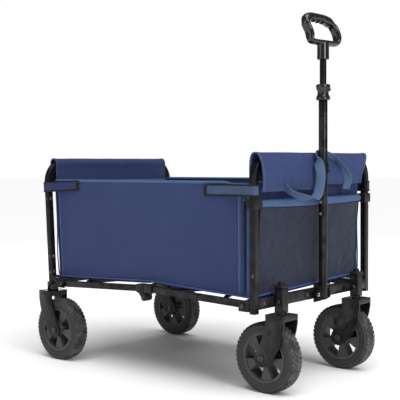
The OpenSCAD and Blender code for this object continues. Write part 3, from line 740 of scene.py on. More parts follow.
class Shape:
    """A mesh in the making. Its methods add to it, and mesh() ends it."""

    def __init__(self) -> None:
        """Starts with nothing in it."""
        self.made = bmesh.new()
        self.flat = self.made.loops.layers.uv.new("UVMap")

    def mesh(self, name: str, outwards: bool = False) -> bpy.types.Mesh:
        """Ends the shape.

        Args:
            name: the mesh's name.
            outwards: whether its normals are worked out again.

        Returns:
            The mesh.
        """
        if outwards:
            bmesh.ops.recalc_face_normals(self.made, faces=self.made.faces)
        mesh = bpy.data.meshes.new(name)
        self.made.to_mesh(mesh)
        self.made.free()
        return mesh

    def _placing(self, centre: Vector, size: Sequence[float], turn: Matrix | None) -> Matrix:
        """Returns the matrix that sizes a unit shape, turns it and then places it."""
        return Matrix.Translation(centre) @ (turn or Matrix.Identity(4)) @ Matrix.Diagonal((*size, 1.0))

    def box(self, centre: Vector, size: Sequence[float], turn: Matrix | None = None) -> list:
        """Adds a block.

        Args:
            centre: its middle.
            size: its sides.
            turn: how it is turned before it is placed.

        Returns:
            Its vertices.
        """
        return bmesh.ops.create_cube(self.made, size=1.0, matrix=self._placing(centre, size, turn))["verts"]

    def rod(self, start: Vector, end: Vector, radius: float, end_radius: float | None = None,
            sides: int = 20) -> list:
        """Adds a round or tapered rod.

        Args:
            start: the middle of one end.
            end: the middle of the other.
            radius: its radius at the start.
            end_radius: its radius at the end; the same when it is None.
            sides: how many sides it has.

        Returns:
            Its vertices.
        """
        along = end - start
        place = Matrix.Translation((start + end) / 2) @ turn_between(Z_AXIS, along)
        return bmesh.ops.create_cone(self.made, cap_ends=True, segments=sides, radius1=radius,
                                     radius2=radius if end_radius is None else end_radius,
                                     depth=along.length, matrix=place)["verts"]

    def ball(self, centre: Vector, size: Sequence[float], turn: Matrix | None = None) -> list:
        """Adds a rounded head.

        Args:
            centre: its middle.
            size: its radii.
            turn: how it is turned before it is placed.

        Returns:
            Its vertices.
        """
        return bmesh.ops.create_uvsphere(self.made, u_segments=14, v_segments=8, radius=1.0,
                                         matrix=self._placing(centre, size, turn))["verts"]

    def turned(self, profile: Sequence[Sequence[float]], centre: Vector, axis: Vector, out: Vector,
               steps: int) -> None:
        """Spins a closed outline a full turn.

        Args:
            profile: distance from the axis and place along it, for each corner.
            centre: the point that places are measured from.
            axis: the direction of the axis.
            out: a direction square to the axis.
            steps: how many steps the turn takes.
        """
        ring = [self.made.verts.new(centre + out * r + axis * h) for r, h in profile]
        edges = [self.made.edges.new((a, b)) for a, b in zip(ring, ring[1:] + ring[:1])]
        bmesh.ops.spin(self.made, geom=ring + edges, cent=centre, axis=axis, dvec=Vector(),
                       angle=math.tau, steps=steps, use_merge=True, use_duplicate=False)

    def sheet(self, columns: int, rows: int, size: tuple[float, float],
              place: Callable[[float, float], Vector]) -> None:
        """Adds a sheet from a grid.

        Args:
            columns: how many cells it has across.
            rows: how many cells it has along.
            size: its flat width and length, which its UV map uses.
            place: where a point goes, from its share of the width and of the length.
        """
        grid = bmesh.ops.create_grid(self.made, x_segments=columns, y_segments=rows, size=0.5)["verts"]
        shares = {v: (v.co.x + 0.5, v.co.y + 0.5) for v in grid}
        for face in {f for v in grid for f in v.link_faces}:
            for loop in face.loops:
                across, along = shares[loop.vert]
                loop[self.flat].uv = (across * size[0], along * size[1])
        for vert, (across, along) in shares.items():
            vert.co = place(across, along)

    def tube(self, line: Sequence[Vector], radius: float | Callable[[float], float],
             closed: bool = False, roundness: int = 2) -> None:
        """Adds a tube along a line.

        Args:
            line: its centre line.
            radius: its radius, or a function of the share of its length.
            closed: whether it runs round.
            roundness: how many extra sides each quarter of it has.
        """
        curve = bpy.data.curves.new("route", "CURVE")
        curve.dimensions = "3D"
        curve.bevel_depth = 1.0
        curve.bevel_resolution = roundness
        curve.use_fill_caps = not closed
        spline = curve.splines.new("POLY")
        spline.points.add(len(line) - 1)
        spline.use_cyclic_u = closed
        for index, (point, at) in enumerate(zip(spline.points, line)):
            point.co = (*at, 1.0)
            share = index / (len(line) - 1)
            point.radius = radius(share) if callable(radius) else radius
        holder = bpy.data.objects.new("route", curve)
        mesh = bpy.data.meshes.new_from_object(holder)
        self.made.from_mesh(mesh)
        bpy.data.objects.remove(holder)
        bpy.data.meshes.remove(mesh)
        bpy.data.curves.remove(curve)

    def stitches(self, line: Sequence[Vector], lift: Vector, pitch: float = 4.2 * MM,
                 length: float = 2.7 * MM, width: float = 0.7 * MM) -> None:
        """Adds a row of stitches along a line.

        Args:
            line: where the row runs.
            lift: how far and which way the stitches stand off the line.
            pitch: the distance from one stitch to the next.
            length: the length of a stitch.
            width: the width of a stitch.
        """
        spots = evenly(line, max(3, int(length_of(line) / pitch)))
        for before, here in zip(spots, spots[1:]):
            along = here - before
            if along.length > 1e-6:
                turn = turn_between(X_AXIS, along)
                self.box((before + here) / 2 + lift, (length, width, width), turn)

    def binding(self, line: Sequence[Vector], inwards: Vector, face: Vector | Sequence[Vector],
                width: float, gap: float = 1.3 * MM) -> None:
        """Adds a tape folded over an edge.

        Args:
            line: the edge.
            inwards: the direction from the edge into the cloth.
            face: the direction that the cloth faces, once or for each point.
            width: how far the tape reaches in from the edge.
            gap: half the room between its two legs.
        """
        fold = [(gap, width), (gap, 0.3 * width), (0.8 * gap, -0.2 * gap), (0.0, -0.7 * gap),
                (-0.8 * gap, -0.2 * gap), (-gap, 0.3 * width), (-gap, width)]
        last = len(line) - 1
        faces = [face] * len(line) if isinstance(face, Vector) else face

        def place(across: float, along: float) -> Vector:
            """Returns the place of a point of the tape."""
            out, depth = fold[round(across * (len(fold) - 1))]
            k = round(along * last)
            return line[k] + faces[k] * out + inwards * depth

        self.sheet(len(fold) - 1, last, (2 * width, length_of(line)), place)


@dataclass
class EndSpace:
    """The space of one end frame: out is away from the basket, and height is along the posts."""

    centre: Vector
    facing: int
    lean: float
    body: str

    def at(self, out: float, y: float, z: float) -> Vector:
        """Returns a place in the row frame.

        Args:
            out: distance outwards from the middle of the posts.
            y: place across the wagon.
            z: height, as if the posts stood upright.

        Returns:
            The point.
        """
        rise = z - self.centre.z
        sine, cosine = math.sin(self.lean), math.cos(self.lean)
        return Vector((self.centre.x + self.facing * (out * cosine + rise * sine), y,
                       self.centre.z + rise * cosine - out * sine))

    @property
    def outwards(self) -> Vector:
        """The direction away from the basket."""
        return Vector((self.facing * math.cos(self.lean), 0.0, -math.sin(self.lean)))


@dataclass
class Layout:
    """Places that several sub-assemblies share, read from the frame."""

    front: EndSpace
    rear: EndSpace
    post_y: float
    wall_y_abs: float
    rim_z: float
    hem_z: float
    wall_front_x: float

    @classmethod
    def read(cls) -> "Layout":
        """Reads the places.

        Returns:
            The layout.
        """
        hoop_low, hoop_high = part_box("front_hoop")
        side_low, side_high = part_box("side_right")
        tube = hoop_high.x - hoop_low.x
        return cls(
            front=EndSpace(middle_of("front_crossbar"), 1, 0.0, "front_frame"),
            rear=EndSpace(middle_of("rear_crossbar"), -1, math.radians(3.0), "rear_frame"),
            post_y=hoop_high.y - tube / 2,
            wall_y_abs=(side_low.y + side_high.y) / 2,
            rim_z=side_high.z,
            hem_z=side_low.z,
            wall_front_x=side_high.x - 1.5 * MM,
        )


# --------------------------------------------------------------------------- hard parts


@dataclass
class HardParts:
    """The frame's own metal and plastic, with edges rounded by the widths given here."""

    tube_edge: float = 0.9 * MM
    bar_edge: float = 1.8 * MM
    bracket_edge: float = 0.8 * MM
    housing_edge: float = 1.4 * MM
    moulding_edge: float = 1.5 * MM
    fork_edge: float = 1.1 * MM
    pin_edge: float = 0.7 * MM
    rivet_edge: float = 0.5 * MM
    hub_edge: float = 1.3 * MM
    pole_edge: float = 0.4 * MM
    button_edge: float = 1.2 * MM

    def rounded(self) -> list[tuple[Finish, float, tuple[str, ...]]]:
        """Lists what is rounded: the finish, the width of the rounding and the nodes.

        Returns:
            One row for each kind of part.
        """
        return [
            (FRAME, self.tube_edge, ("front_hoop", "rear_hoop", "front_brace", "rear_brace")),
            (FRAME, self.bar_edge, ("front_crossbar", "rear_crossbar", "front_rails", "rear_rails")),
            (FRAME, self.bracket_edge, ("front_hinge_brackets", "rear_hinge_brackets", "front_upper_tube")),
            (FRAME, self.housing_edge, ("caster_housings",)),
            (PLASTIC, self.moulding_edge, ("front_feet", "front_knuckles", "housing_caps", "handle_bracket",
                                           "centre_hinge_front", "centre_hinge_rear")),
            (FORK_FINISH, self.fork_edge, ("front_fork_left", "front_fork_right",
                                           "rear_fork_left", "rear_fork_right")),
            (BLACK_BOLT, self.pin_edge, ("front_hinge_pins", "rear_hinge_pins", "centre_hinge_pins",
                                         "front_stem_left", "front_stem_right", "front_axle_left",
                                         "front_axle_right", "rear_axle_left", "rear_axle_right")),
            (ZINC, self.rivet_edge, ("pole_rivets",)),
            (HUB, self.hub_edge, ("hub_front_left", "hub_front_right", "hub_rear_left", "hub_rear_right")),
            (FRAME, self.pole_edge, ("handle_tube", "inner_tube")),
            (BUTTON, self.button_edge, ("lock_button",)),
        ]

    def build(self, shop: Workshop) -> None:
        """Rounds and finishes every listed node."""
        for finish, width, nodes in self.rounded():
            for node in nodes:
                shop.softened(node, finish, width)


@dataclass
class Fasteners:
    """Bolt and rivet heads that show on the frame."""

    layout: Layout
    head: float = 3.6 * MM
    post_half: float = 9 * MM
    housing_from_front: float = 13 * MM
    housing_width: float = 26 * MM
    front_post_height: float = 300 * MM
    rear_post_heights: tuple[float, ...] = (255 * MM, 300 * MM, 470 * MM)
    bar_shares: tuple[float, ...] = (0.88, 0.16)

    def heads(self) -> dict[str, list[tuple[Vector, Vector]]]:
        """Finds where each head sits and which way it faces.

        Returns:
            For each body, its heads' places and directions.
        """
        front, rear, post_y = self.layout.front, self.layout.rear, self.layout.post_y
        housing_low, housing_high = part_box("caster_housings")
        bar_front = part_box("front_crossbar")[1].x
        on_front: list[tuple[Vector, Vector]] = []
        on_rear: list[tuple[Vector, Vector]] = []
        for side in (LEFT, RIGHT):
            beside = side * (post_y + self.post_half)
            for z in self.rear_post_heights:
                on_rear.append((rear.at(0.0, beside, z), Y_AXIS * side))
                on_rear.append((rear.at(-self.post_half, side * post_y, z), -rear.outwards))
            for share in self.bar_shares:
                on_front.append((Vector((bar_front, side * share * post_y, front.centre.z)), X_AXIS))
            on_front.append((front.at(0.0, beside, self.front_post_height), Y_AXIS * side))
            for inset, facing in ((0.0, -Y_AXIS), (self.housing_width, Y_AXIS)):
                place = Vector((housing_high.x - self.housing_from_front, -side * (housing_low.y + inset),
                                front.centre.z))
                on_front.append((place, facing * -side))
        return {"front_frame": on_front, "rear_frame": on_rear}

    def build(self, shop: Workshop) -> None:
        """Makes one piece of heads for each body.

        Args:
            shop: makes the pieces and gives them their finishes.
        """
        for body, heads in self.heads().items():
            shape = Shape()
            for place, facing in heads:
                shape.ball(place, (self.head, self.head, 0.5 * self.head), turn_between(Z_AXIS, facing))
                shape.rod(place - facing * 0.5 * MM, place + facing * 0.7 * MM, 1.35 * self.head)
            shop.piece(f"bolt_heads_{body}", shape.mesh("bolt_heads"), BLACK_BOLT, body)


@dataclass
class Tyre:
    """One tyre: a turned carcass with ringed sidewalls and a tread of slanted blocks."""

    position: str
    steps: int = 112
    blocks: int = 46
    lean: float = 0.55
    root: float = 86.3
    block_share: float = 0.74
    block_edge: float = 0.35 * MM

    def half_profile(self) -> list[tuple[float, float]]:
        """Lists the carcass outline from the bead to the middle of the tread, in millimetres.

        Returns:
            Distances from the axle and from the middle of the tyre.
        """
        return [(62.0, 20.5), (63.5, 21.8), (66.0, 22.3), (68.3, 22.2), (69.3, 23.0), (71.0, 23.1),
                (72.0, 22.6), (77.5, 22.5), (78.5, 23.0), (80.0, 22.9), (82.6, 21.6), (85.2, 19.3),
                (86.8, 16.0), (87.5, 11.0), (87.8, 5.0)]

    def rows(self) -> list[tuple[float, float, float]]:
        """Lists the rows of tread blocks: place across, width and outer radius, in millimetres.

        Returns:
            One entry for each row.
        """
        return [(-16.0, 6.6, 88.2), (-8.4, 6.4, 88.9), (0.0, 7.6, 89.0), (8.4, 6.4, 88.9),
                (16.0, 6.6, 88.2)]

    def build(self, shop: Workshop) -> None:
        """Makes the tyre.

        Args:
            shop: makes the pieces and gives them their finishes.
        """
        node = f"tyre_{self.position}"
        centre = middle_of(node)
        half = self.half_profile()
        outline = [(r * MM, -h * MM) for r, h in half] + [(r * MM, h * MM) for r, h in reversed(half)]
        shape = Shape()
        shape.turned(outline, centre, Y_AXIS, X_AXIS, self.steps)
        bmesh.ops.remove_doubles(shape.made, verts=shape.made.verts, dist=SAME_PLACE)
        bmesh.ops.recalc_face_normals(shape.made, faces=shape.made.faces)
        pitch = math.tau * self.root / self.blocks
        for index, (across, width, radius) in enumerate(self.rows()):
            shear = Matrix.Identity(4)
            shear[0][1] = self.lean * (1 if index % 2 else -1)
            size = (self.block_share * pitch * MM, width * MM, (radius - self.root) * MM, 1.0)
            out = Matrix.Translation((0.0, across * MM, (self.root + radius) / 2 * MM))
            for block in range(self.blocks):
                angle = math.tau * (block + 0.5 * (index % 2)) / self.blocks
                place = (Matrix.Translation(centre) @ Matrix.Rotation(angle, 4, "Y") @ out @ shear
                         @ Matrix.Diagonal(size))
                bmesh.ops.create_cube(shape.made, size=1.0, matrix=place)
        tyre = shop.piece(f"{node}_rubber", shape.mesh(node), TYRE, f"wheel_{self.position}", [node])
        round_edges(tyre, self.block_edge, segments=1, angle=40.0)


@dataclass
class Handle:
    """The grip, the lock collar, the pivot knob and the strap hook of the pull handle."""

    lean: float = math.radians(16.0)
    turn: float = math.radians(8.0)
    neck_height: float = 38 * MM
    voxel: float = 1.3 * MM
    smoothing: int = 14
    finger_pitch: float = 17.5
    finger_depth: float = 3.4
    knob_lobes: int = 12
    knob_radius: float = 10.4 * MM
    hook_height: float = 557 * MM
    hook_turn: float = math.radians(41.0)

    def loop(self) -> list[tuple[float, float]]:
        """Lists the middle line of the grip loop: across and up, in millimetres.

        Returns:
            Its points, once round.
        """
        return [(-34, 6.5), (6, 6), (48, 6.5), (59.5, 12), (63.5, 26), (61.5, 42), (54.5, 56), (42, 66),
                (23, 71.5), (-8, 73.5), (-29, 73.5), (-42, 69), (-49.5, 58), (-46.5, 46), (-42.5, 35),
                (-42, 22), (-43.5, 11)]

    def build(self, shop: Workshop) -> None:
        """Makes the handle's pieces.

        Args:
            shop: makes the pieces and gives them their finishes.
        """
        self._grip(shop)
        self._collar(shop)
        self._pivot(shop)
        self._hook(shop)

    def _grip_shape(self, foot: Vector, turn: Matrix) -> Shape:
        """Makes the loop and the neck, not yet fused.

        Args:
            foot: the middle of the neck's lower end.
            turn: how the loop is turned and placed.

        Returns:
            The shape.
        """
        line = [Vector((0.0, y, h)) * MM for y, h in curve_through(self.loop(), 96, closed=True)]

        def radius(share: float) -> float:
            """Returns the loop's radius in its own plane, thicker along the legs and the top bar."""
            height = line[round(share * (len(line) - 1))].z / MM
            return (6.8 + 1.4 * ease((height - 10) / 12) + 4.0 * ease((height - 56) / 12)) * MM

        shape = Shape()
        shape.tube(line, radius, closed=True, roundness=4)
        for vert in shape.made.verts:
            vert.co.x *= 1.75 - 0.6 * ease((vert.co.z / MM - 52) / 14)
        bmesh.ops.transform(shape.made, matrix=turn, verts=shape.made.verts)
        neck_top = foot + Z_AXIS * (self.neck_height + 6 * MM)
        shape.rod(foot, foot + Z_AXIS * 7 * MM, 16.2 * MM, 15.6 * MM, 40)
        shape.rod(foot + Z_AXIS * 6.5 * MM, neck_top, 15.6 * MM, 15.4 * MM, 40)
        return shape

    def _finger_rests(self, mesh: bpy.types.Mesh, turn: Matrix) -> None:
        """Presses finger rests into the underside of the top bar.

        Args:
            mesh: the grip's mesh.
            turn: how the loop was turned and placed.
        """
        back = turn.inverted()
        for vert in mesh.vertices:
            local = back @ vert.co / MM
            under = ease((local.z - 55.0) / 4.0) * ease((70.0 - local.z) / 5.0)
            under *= ease((27.0 - abs(local.y + 8.0)) / 6.0)
            if under > 0.0:
                wave = 0.5 - 0.5 * math.cos(math.tau * (local.y + 33.0) / self.finger_pitch)
                local.z += self.finger_depth * under * wave
                vert.co = turn @ (local * MM)

    def _grip(self, shop: Workshop) -> None:
        """Fuses the loop and the neck into one moulded grip with finger rests.

        Args:
            shop: makes the pieces and gives them their finishes.
        """
        low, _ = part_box("grip")
        pole_x = middle_of("handle_tube").x
        turn = (Matrix.Translation((pole_x, 0.0, low.z + self.neck_height))
                @ Matrix.Rotation(-self.turn, 4, "Z") @ Matrix.Rotation(-self.lean, 4, "Y"))
        shape = self._grip_shape(Vector((pole_x, 0.0, low.z)), turn)
        grip = shop.piece("grip_moulding", shape.mesh("grip"), GRIP_FINISH, "handle_upper", ["grip"])
        fuse = grip.modifiers.new("fuse", "REMESH")
        fuse.mode = "VOXEL"
        fuse.voxel_size = self.voxel
        soften = grip.modifiers.new("soften", "SMOOTH")
        soften.iterations = self.smoothing
        soften.factor = 0.5
        settled = bpy.data.meshes.new_from_object(
            grip.evaluated_get(bpy.context.evaluated_depsgraph_get()))
        grip.modifiers.clear()
        grip.data = settled
        self._finger_rests(settled, turn)
        shop.coat(settled, GRIP_FINISH)

    def _collar(self, shop: Workshop) -> None:
        """Turns the waisted collar round the top of the handle tube.

        Args:
            shop: makes the pieces and gives them their finishes.
        """
        low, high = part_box("lock_collar")
        centre = Vector(((low.x + high.x) / 2, 0.0, 0.0))
        foot = low.z / MM
        outer = [(15.6, 0.0), (17.6, 0.7), (18.5, 2.4), (18.4, 5.5), (17.2, 10.0), (15.0, 14.5),
                 (14.2, 19.0), (14.9, 23.5), (17.2, 28.0), (18.4, 32.5), (18.5, 37.5), (17.8, 40.0),
                 (16.0, 41.0)]
        inner = [(9.1, 41.0), (9.1, 13.2), (11.8, 13.2), (11.8, 0.0)]
        outline = [(r * MM, (foot + h) * MM) for r, h in outer + inner]
        shape = Shape()
        shape.turned(outline, centre, Z_AXIS, X_AXIS, 64)
        collar = shop.piece("collar_moulding", shape.mesh("collar", True), GRIP_FINISH, "handle_lower",
                            ["lock_collar"])
        round_edges(collar, 0.8 * MM)

    def _pivot(self, shop: Workshop) -> None:
        """Makes the black pivot knob and the bright bolt through it.

        Args:
            shop: makes the pieces and gives them their finishes.
        """
        low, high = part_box("handle_pivot_bolt")
        x, z = (low.x + high.x) / 2, (low.z + high.z) / 2
        radius = (high.z - low.z) / 2
        start, end = Vector((x, low.y, z)), Vector((x, high.y, z))
        knob = Shape()
        knob.rod(start + Y_AXIS * 3 * MM, start + Y_AXIS * 9 * MM, radius, radius, 28)
        for lobe in range(self.knob_lobes):
            angle = math.tau * lobe / self.knob_lobes
            around = Vector((math.cos(angle), 0.0, math.sin(angle))) * self.knob_radius
            rim = start + around + Y_AXIS * 3.4 * MM
            knob.rod(rim, rim + Y_AXIS * 5.4 * MM, 1.4 * MM, 1.4 * MM, 8)
        piece = shop.piece("pivot_knob", knob.mesh("pivot_knob"), PLASTIC, "front_frame",
                           ["handle_pivot_bolt"])
        round_edges(piece, 0.7 * MM)
        bolt = Shape()
        bolt.rod(start, end, 3.9 * MM)
        bolt.ball(start + Y_AXIS * 1.8 * MM, (5.4 * MM, 2.4 * MM, 5.4 * MM))
        bolt.rod(end - Y_AXIS * 5 * MM, end, 7 * MM, 7 * MM, 6)
        round_edges(shop.piece("pivot_bolt", bolt.mesh("pivot_bolt"), ZINC, "front_frame"), 0.6 * MM)

    def _hook(self, shop: Workshop) -> None:
        """Makes the small hook on the handle tube that the carry strap rests against.

        Args:
            shop: makes the pieces and gives them their finishes.
        """
        low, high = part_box("handle_tube")
        centre = Vector(((low.x + high.x) / 2, 0.0, self.hook_height))
        radius = (high.x - low.x) / 2
        turn = Matrix.Rotation(self.hook_turn, 4, "Z")
        outwards = (turn @ X_AXIS).normalized()
        shape = Shape()
        shape.box(centre + outwards * (radius + 1.4 * MM), (3.4 * MM, 10 * MM, 25 * MM), turn)
        tooth = centre + outwards * (radius + 4 * MM) - Z_AXIS * 7 * MM
        shape.box(tooth, (4.4 * MM, 9 * MM, 7 * MM), turn)
        round_edges(shop.piece("strap_hook", shape.mesh("strap_hook"), PLASTIC, "handle_lower"), 0.9 * MM)


# --------------------------------------------------------------------------- basket


@dataclass(frozen=True)
class Crease:
    """A soft fold in a wall: it runs from one place to another, as across and up."""

    start: tuple[float, float]
    end: tuple[float, float]
    width: float
    height: float

    def at(self, across: float, up: float) -> float:
        """Works out how far the cloth stands out at a place.

        Args:
            across: the place along the wagon.
            up: the place's height.

        Returns:
            The distance outwards.
        """
        a, b = Vector(self.start), Vector(self.end)
        along = b - a
        share = min(1.0, max(0.0, (Vector((across, up)) - a).dot(along) / along.length_squared))
        gap = (Vector((across, up)) - a.lerp(b, share)).length / self.width
        return self.height * math.exp(-gap * gap) * math.sin(math.pi * (0.12 + 0.76 * share))


class Gathered:
    """What the sewn pieces that reach along the wagon share."""

    def fold(self, piece: bpy.types.Object, anchor: Vector, keep: float) -> None:
        """Gives a piece a mesh of its own."""
        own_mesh(piece)


@dataclass
class SideWall(Gathered):
    """One long wall with its rim tape, piping, seams and corner zip cover."""

    layout: Layout
    side: int
    flat: tuple[float, float] = (0.734, 0.284)
    area: float = 0.204
    height: float = 0.28
    belly: float = 2.4 * MM
    hem_rise: float = 14 * MM
    middle_z: float = 0.385
    face: float = 0.9 * MM
    folded_share: float = 0.324
    light_seam_x: float = 0.3115
    light_cord_x: float = 0.3165
    zip_x: float = 0.3285
    blue_tape_x: float = 0.3405
    seam_xs: tuple[float, ...] = (0.3060, 0.3405)
    creases: tuple[Crease, ...] = (
        Crease((0.335, 0.255), (0.275, 0.345), 11 * MM, 1.9 * MM),
        Crease((0.30, 0.262), (0.17, 0.275), 12 * MM, -1.6 * MM),
        Crease((0.322, 0.30), (0.315, 0.46), 7 * MM, 1.5 * MM),
        Crease((-0.35, 0.255), (-0.24, 0.285), 12 * MM, 1.6 * MM),
        Crease((-0.35, 0.50), (-0.20, 0.42), 16 * MM, -1.4 * MM),
        Crease((-0.10, 0.265), (0.10, 0.272), 12 * MM, 1.3 * MM),
        Crease((0.21, 0.49), (0.10, 0.43), 16 * MM, 1.2 * MM),
    )

    def rear_x(self, z: float) -> float:
        """Returns where the wall ends at the rear, at a height."""
        return self.layout.rear.at(-16 * MM, 0.0, z).x

    def hem(self, x: float) -> float:
        """Returns the height of the lower edge, highest over the middle hinge."""
        middle = 6 * MM
        end = self.layout.wall_front_x if x > middle else self.rear_x(self.layout.hem_z)
        return self.layout.hem_z + self.hem_rise * (1.0 - abs(x - middle) / abs(end - middle))

    def rim(self, x: float) -> float:
        """Returns the height of the upper edge, which dips a little towards the front."""
        return self.layout.rim_z - 0.6 * MM - 5 * MM * ease((x - 0.262) / 0.03)

    def point(self, across: float, up: float, lift: float = 0.0) -> Vector:
        """Finds a point of the wall.

        Args:
            across: its share of the way from the rear edge to the front edge.
            up: its share of the way from the hem to the rim.
            lift: how far it stands off the wall, outwards.

        Returns:
            The point.
        """
        guess = self.layout.hem_z + (self.layout.rim_z - self.layout.hem_z) * up
        x = self.rear_x(guess) * (1.0 - across) + self.layout.wall_front_x * across
        z = self.hem(x) + (self.rim(x) - self.hem(x)) * up
        fade = min(1.0, 9.0 * across, 9.0 * (1.0 - across), 7.0 * up, 7.0 * (1.0 - up))
        out = self.belly * math.sin(math.pi * across) ** 0.7 * math.sin(math.pi * up) ** 0.8
        out += fade * sum(crease.at(x, z) for crease in self.creases)
        out += fade * 1.0 * MM * ripple(Vector((x, 0.0, z)), 0.085, 3.0 + self.side)
        out += 1.2 * MM * ripple(Vector((x, 0.0, 0.0)), 0.16, 9.0) * up ** 4
        return Vector((x, self.side * (self.layout.wall_y_abs + out + lift), z))

    def share_at(self, x: float) -> float:
        """Returns the share across the wall at a place along the wagon, halfway up."""
        rear = self.rear_x(self.middle_z)
        return (x - rear) / (self.layout.wall_front_x - rear)

    def share_from_rear(self, distance: float) -> float:
        """Returns the share across the wall at a distance from its rear edge, halfway up."""
        return self.share_at(self.rear_x(self.middle_z) + distance)

    def _strip(self, shape: Shape, x: float, width: float, low: float, high: float, lift: float) -> None:
        """Adds an upright tape on the wall.

        Args:
            shape: what it is added to.
            x: its middle along the wagon.
            width: its width.
            low: the share up the wall where it starts.
            high: the share where it ends.
            lift: how far it stands off the wall.
        """
        left, right = self.share_at(x - width / 2), self.share_at(x + width / 2)
        shape.sheet(3, 40, (width, (high - low) * self.height), lambda u, v: self.point(
            left + (right - left) * u, low + (high - low) * v,
            lift + 0.4 * MM * math.sin(math.pi * u)))

    def _line(self, low: tuple[float, float], high: tuple[float, float], count: int, lift: float) -> list:
        """Runs a straight line over the wall.

        Args:
            low: the shares across and up where it starts.
            high: the shares where it ends.
            count: how many points it has.
            lift: how far it stands off the wall.

        Returns:
            Its points.
        """
        steps = [k / (count - 1) for k in range(count)]
        return [self.point(low[0] + (high[0] - low[0]) * t, low[1] + (high[1] - low[1]) * t, lift)
                for t in steps]

    def _light_tape(self) -> Shape:
        """Makes the rim's tape and the light seam beside the zip.

        Returns:
            The tapes in one shape.
        """
        shape = Shape()
        shape.binding(self._line((0.0, 1.0), (1.0, 1.0), 90, 0.0), -Z_AXIS, Y_AXIS * self.side, 6.2 * MM)
        self._strip(shape, self.light_seam_x, 5.0 * MM, 0.01, 0.95, self.face + 0.3 * MM)
        return shape

    def _blue_trim(self) -> Shape:
        """Makes the blue tape in front of the zip and the piping of the hem and the edges.

        Returns:
            The trims in one shape.
        """
        shape = Shape()
        self._strip(shape, self.blue_tape_x, 10.0 * MM, 0.005, 0.97, self.face + 0.3 * MM)
        shape.tube(self._line((0.0, 0.0), (1.0, 0.0), 90, 0.6 * MM), 2.3 * MM)
        rear = self.share_from_rear(13 * MM)
        shape.tube(self._line((rear, 0.0), (rear, 0.99), 40, self.face), 2.1 * MM)
        cord = self.share_at(self.light_cord_x)
        shape.tube(self._line((cord, 0.0), (cord, 0.9), 40, self.face), 1.3 * MM)
        return shape

    def _rear_tape(self) -> Shape:
        """Makes the black tape along the rear edge.

        Returns:
            The tape.
        """
        shape = Shape()
        self._strip(shape, self.rear_x(self.middle_z) + 5.5 * MM, 10 * MM, 0.0, 0.93,
                    self.face + 0.2 * MM)
        return shape

    def _zip(self) -> tuple[Shape, Shape]:
        """Makes the zip at the front corner, which is closed.

        Returns:
            The tapered cover over its teeth and the cap on its upper end.
        """
        share = self.share_at(self.zip_x)
        rod = self._line((share, 0.05), (share, 0.86), 40, 0.6 * MM)
        cover = Shape()
        cover.tube(rod, lambda t: (2.9 + 2.1 * t) * MM, roundness=3)
        cap = Shape()
        cap.ball(rod[-1] + Z_AXIS * 1.5 * MM, (3.6 * MM, 3.2 * MM, 4.0 * MM))
        cap.rod(rod[-1] - Z_AXIS * 3 * MM, rod[-1] + Z_AXIS * 0.5 * MM, 5.2 * MM)
        return cover, cap

    def _stitching(self) -> Shape:
        """Makes the rows of stitches below the rim, beside the tapes and above the hem.

        Returns:
            All the rows in one shape.
        """
        shape = Shape()
        on_face = Y_AXIS * self.side * self.face
        on_tape = Y_AXIS * self.side * (self.face + 0.5 * MM)
        shape.stitches(self._line((0.02, 0.968), (0.98, 0.968), 120, 0.0), on_face)
        for x in self.seam_xs:
            share = self.share_at(x)
            shape.stitches(self._line((share, 0.03), (share, 0.92), 60, 0.0), on_tape)
        share = self.share_from_rear(17 * MM)
        shape.stitches(self._line((share, 0.03), (share, 0.95), 60, 0.0), on_face)
        shape.stitches(self._line((0.03, 0.022), (0.97, 0.022), 120, 0.0), on_face)
        return shape

    def build(self, shop: Workshop) -> None:
        """Makes the wall and what is sewn to it.

        Args:
            shop: makes the pieces and gives them their finishes.
        """
        name = SIDE_NAMES[self.side]
        anchor = Vector((self.layout.wall_front_x, 0.0, 0.0))
        wall = Shape()
        wall.sheet(120, 46, self.flat, self.point)
        cloth = shop.piece(f"wall_{name}", wall.mesh("wall"), NAVY, "front_frame", [f"side_{name}"])
        thicken(cloth, 1.6 * MM)
        cover, cap = self._zip()
        trims = [shop.piece(f"wall_{name}_{title}", shape.mesh(title), finish, "front_frame")
                 for title, shape, finish in (
                     ("rim_tape", self._light_tape(), LIGHT_TAPE),
                     ("piping", self._blue_trim(), BLUE_PIPING),
                     ("rear_tape", self._rear_tape(), BLACK_TAPE),
                     ("zip_cover", cover, PLASTIC),
                     ("zip_end", cap, BLACK_BOLT),
                     ("stitching", self._stitching(), THREAD))]
        thicken(trims[0], TAPE_THICKNESS)
        thicken(trims[2], TAPE_THICKNESS)
        for piece in (cloth, *trims):
            self.fold(piece, anchor, self.folded_share)


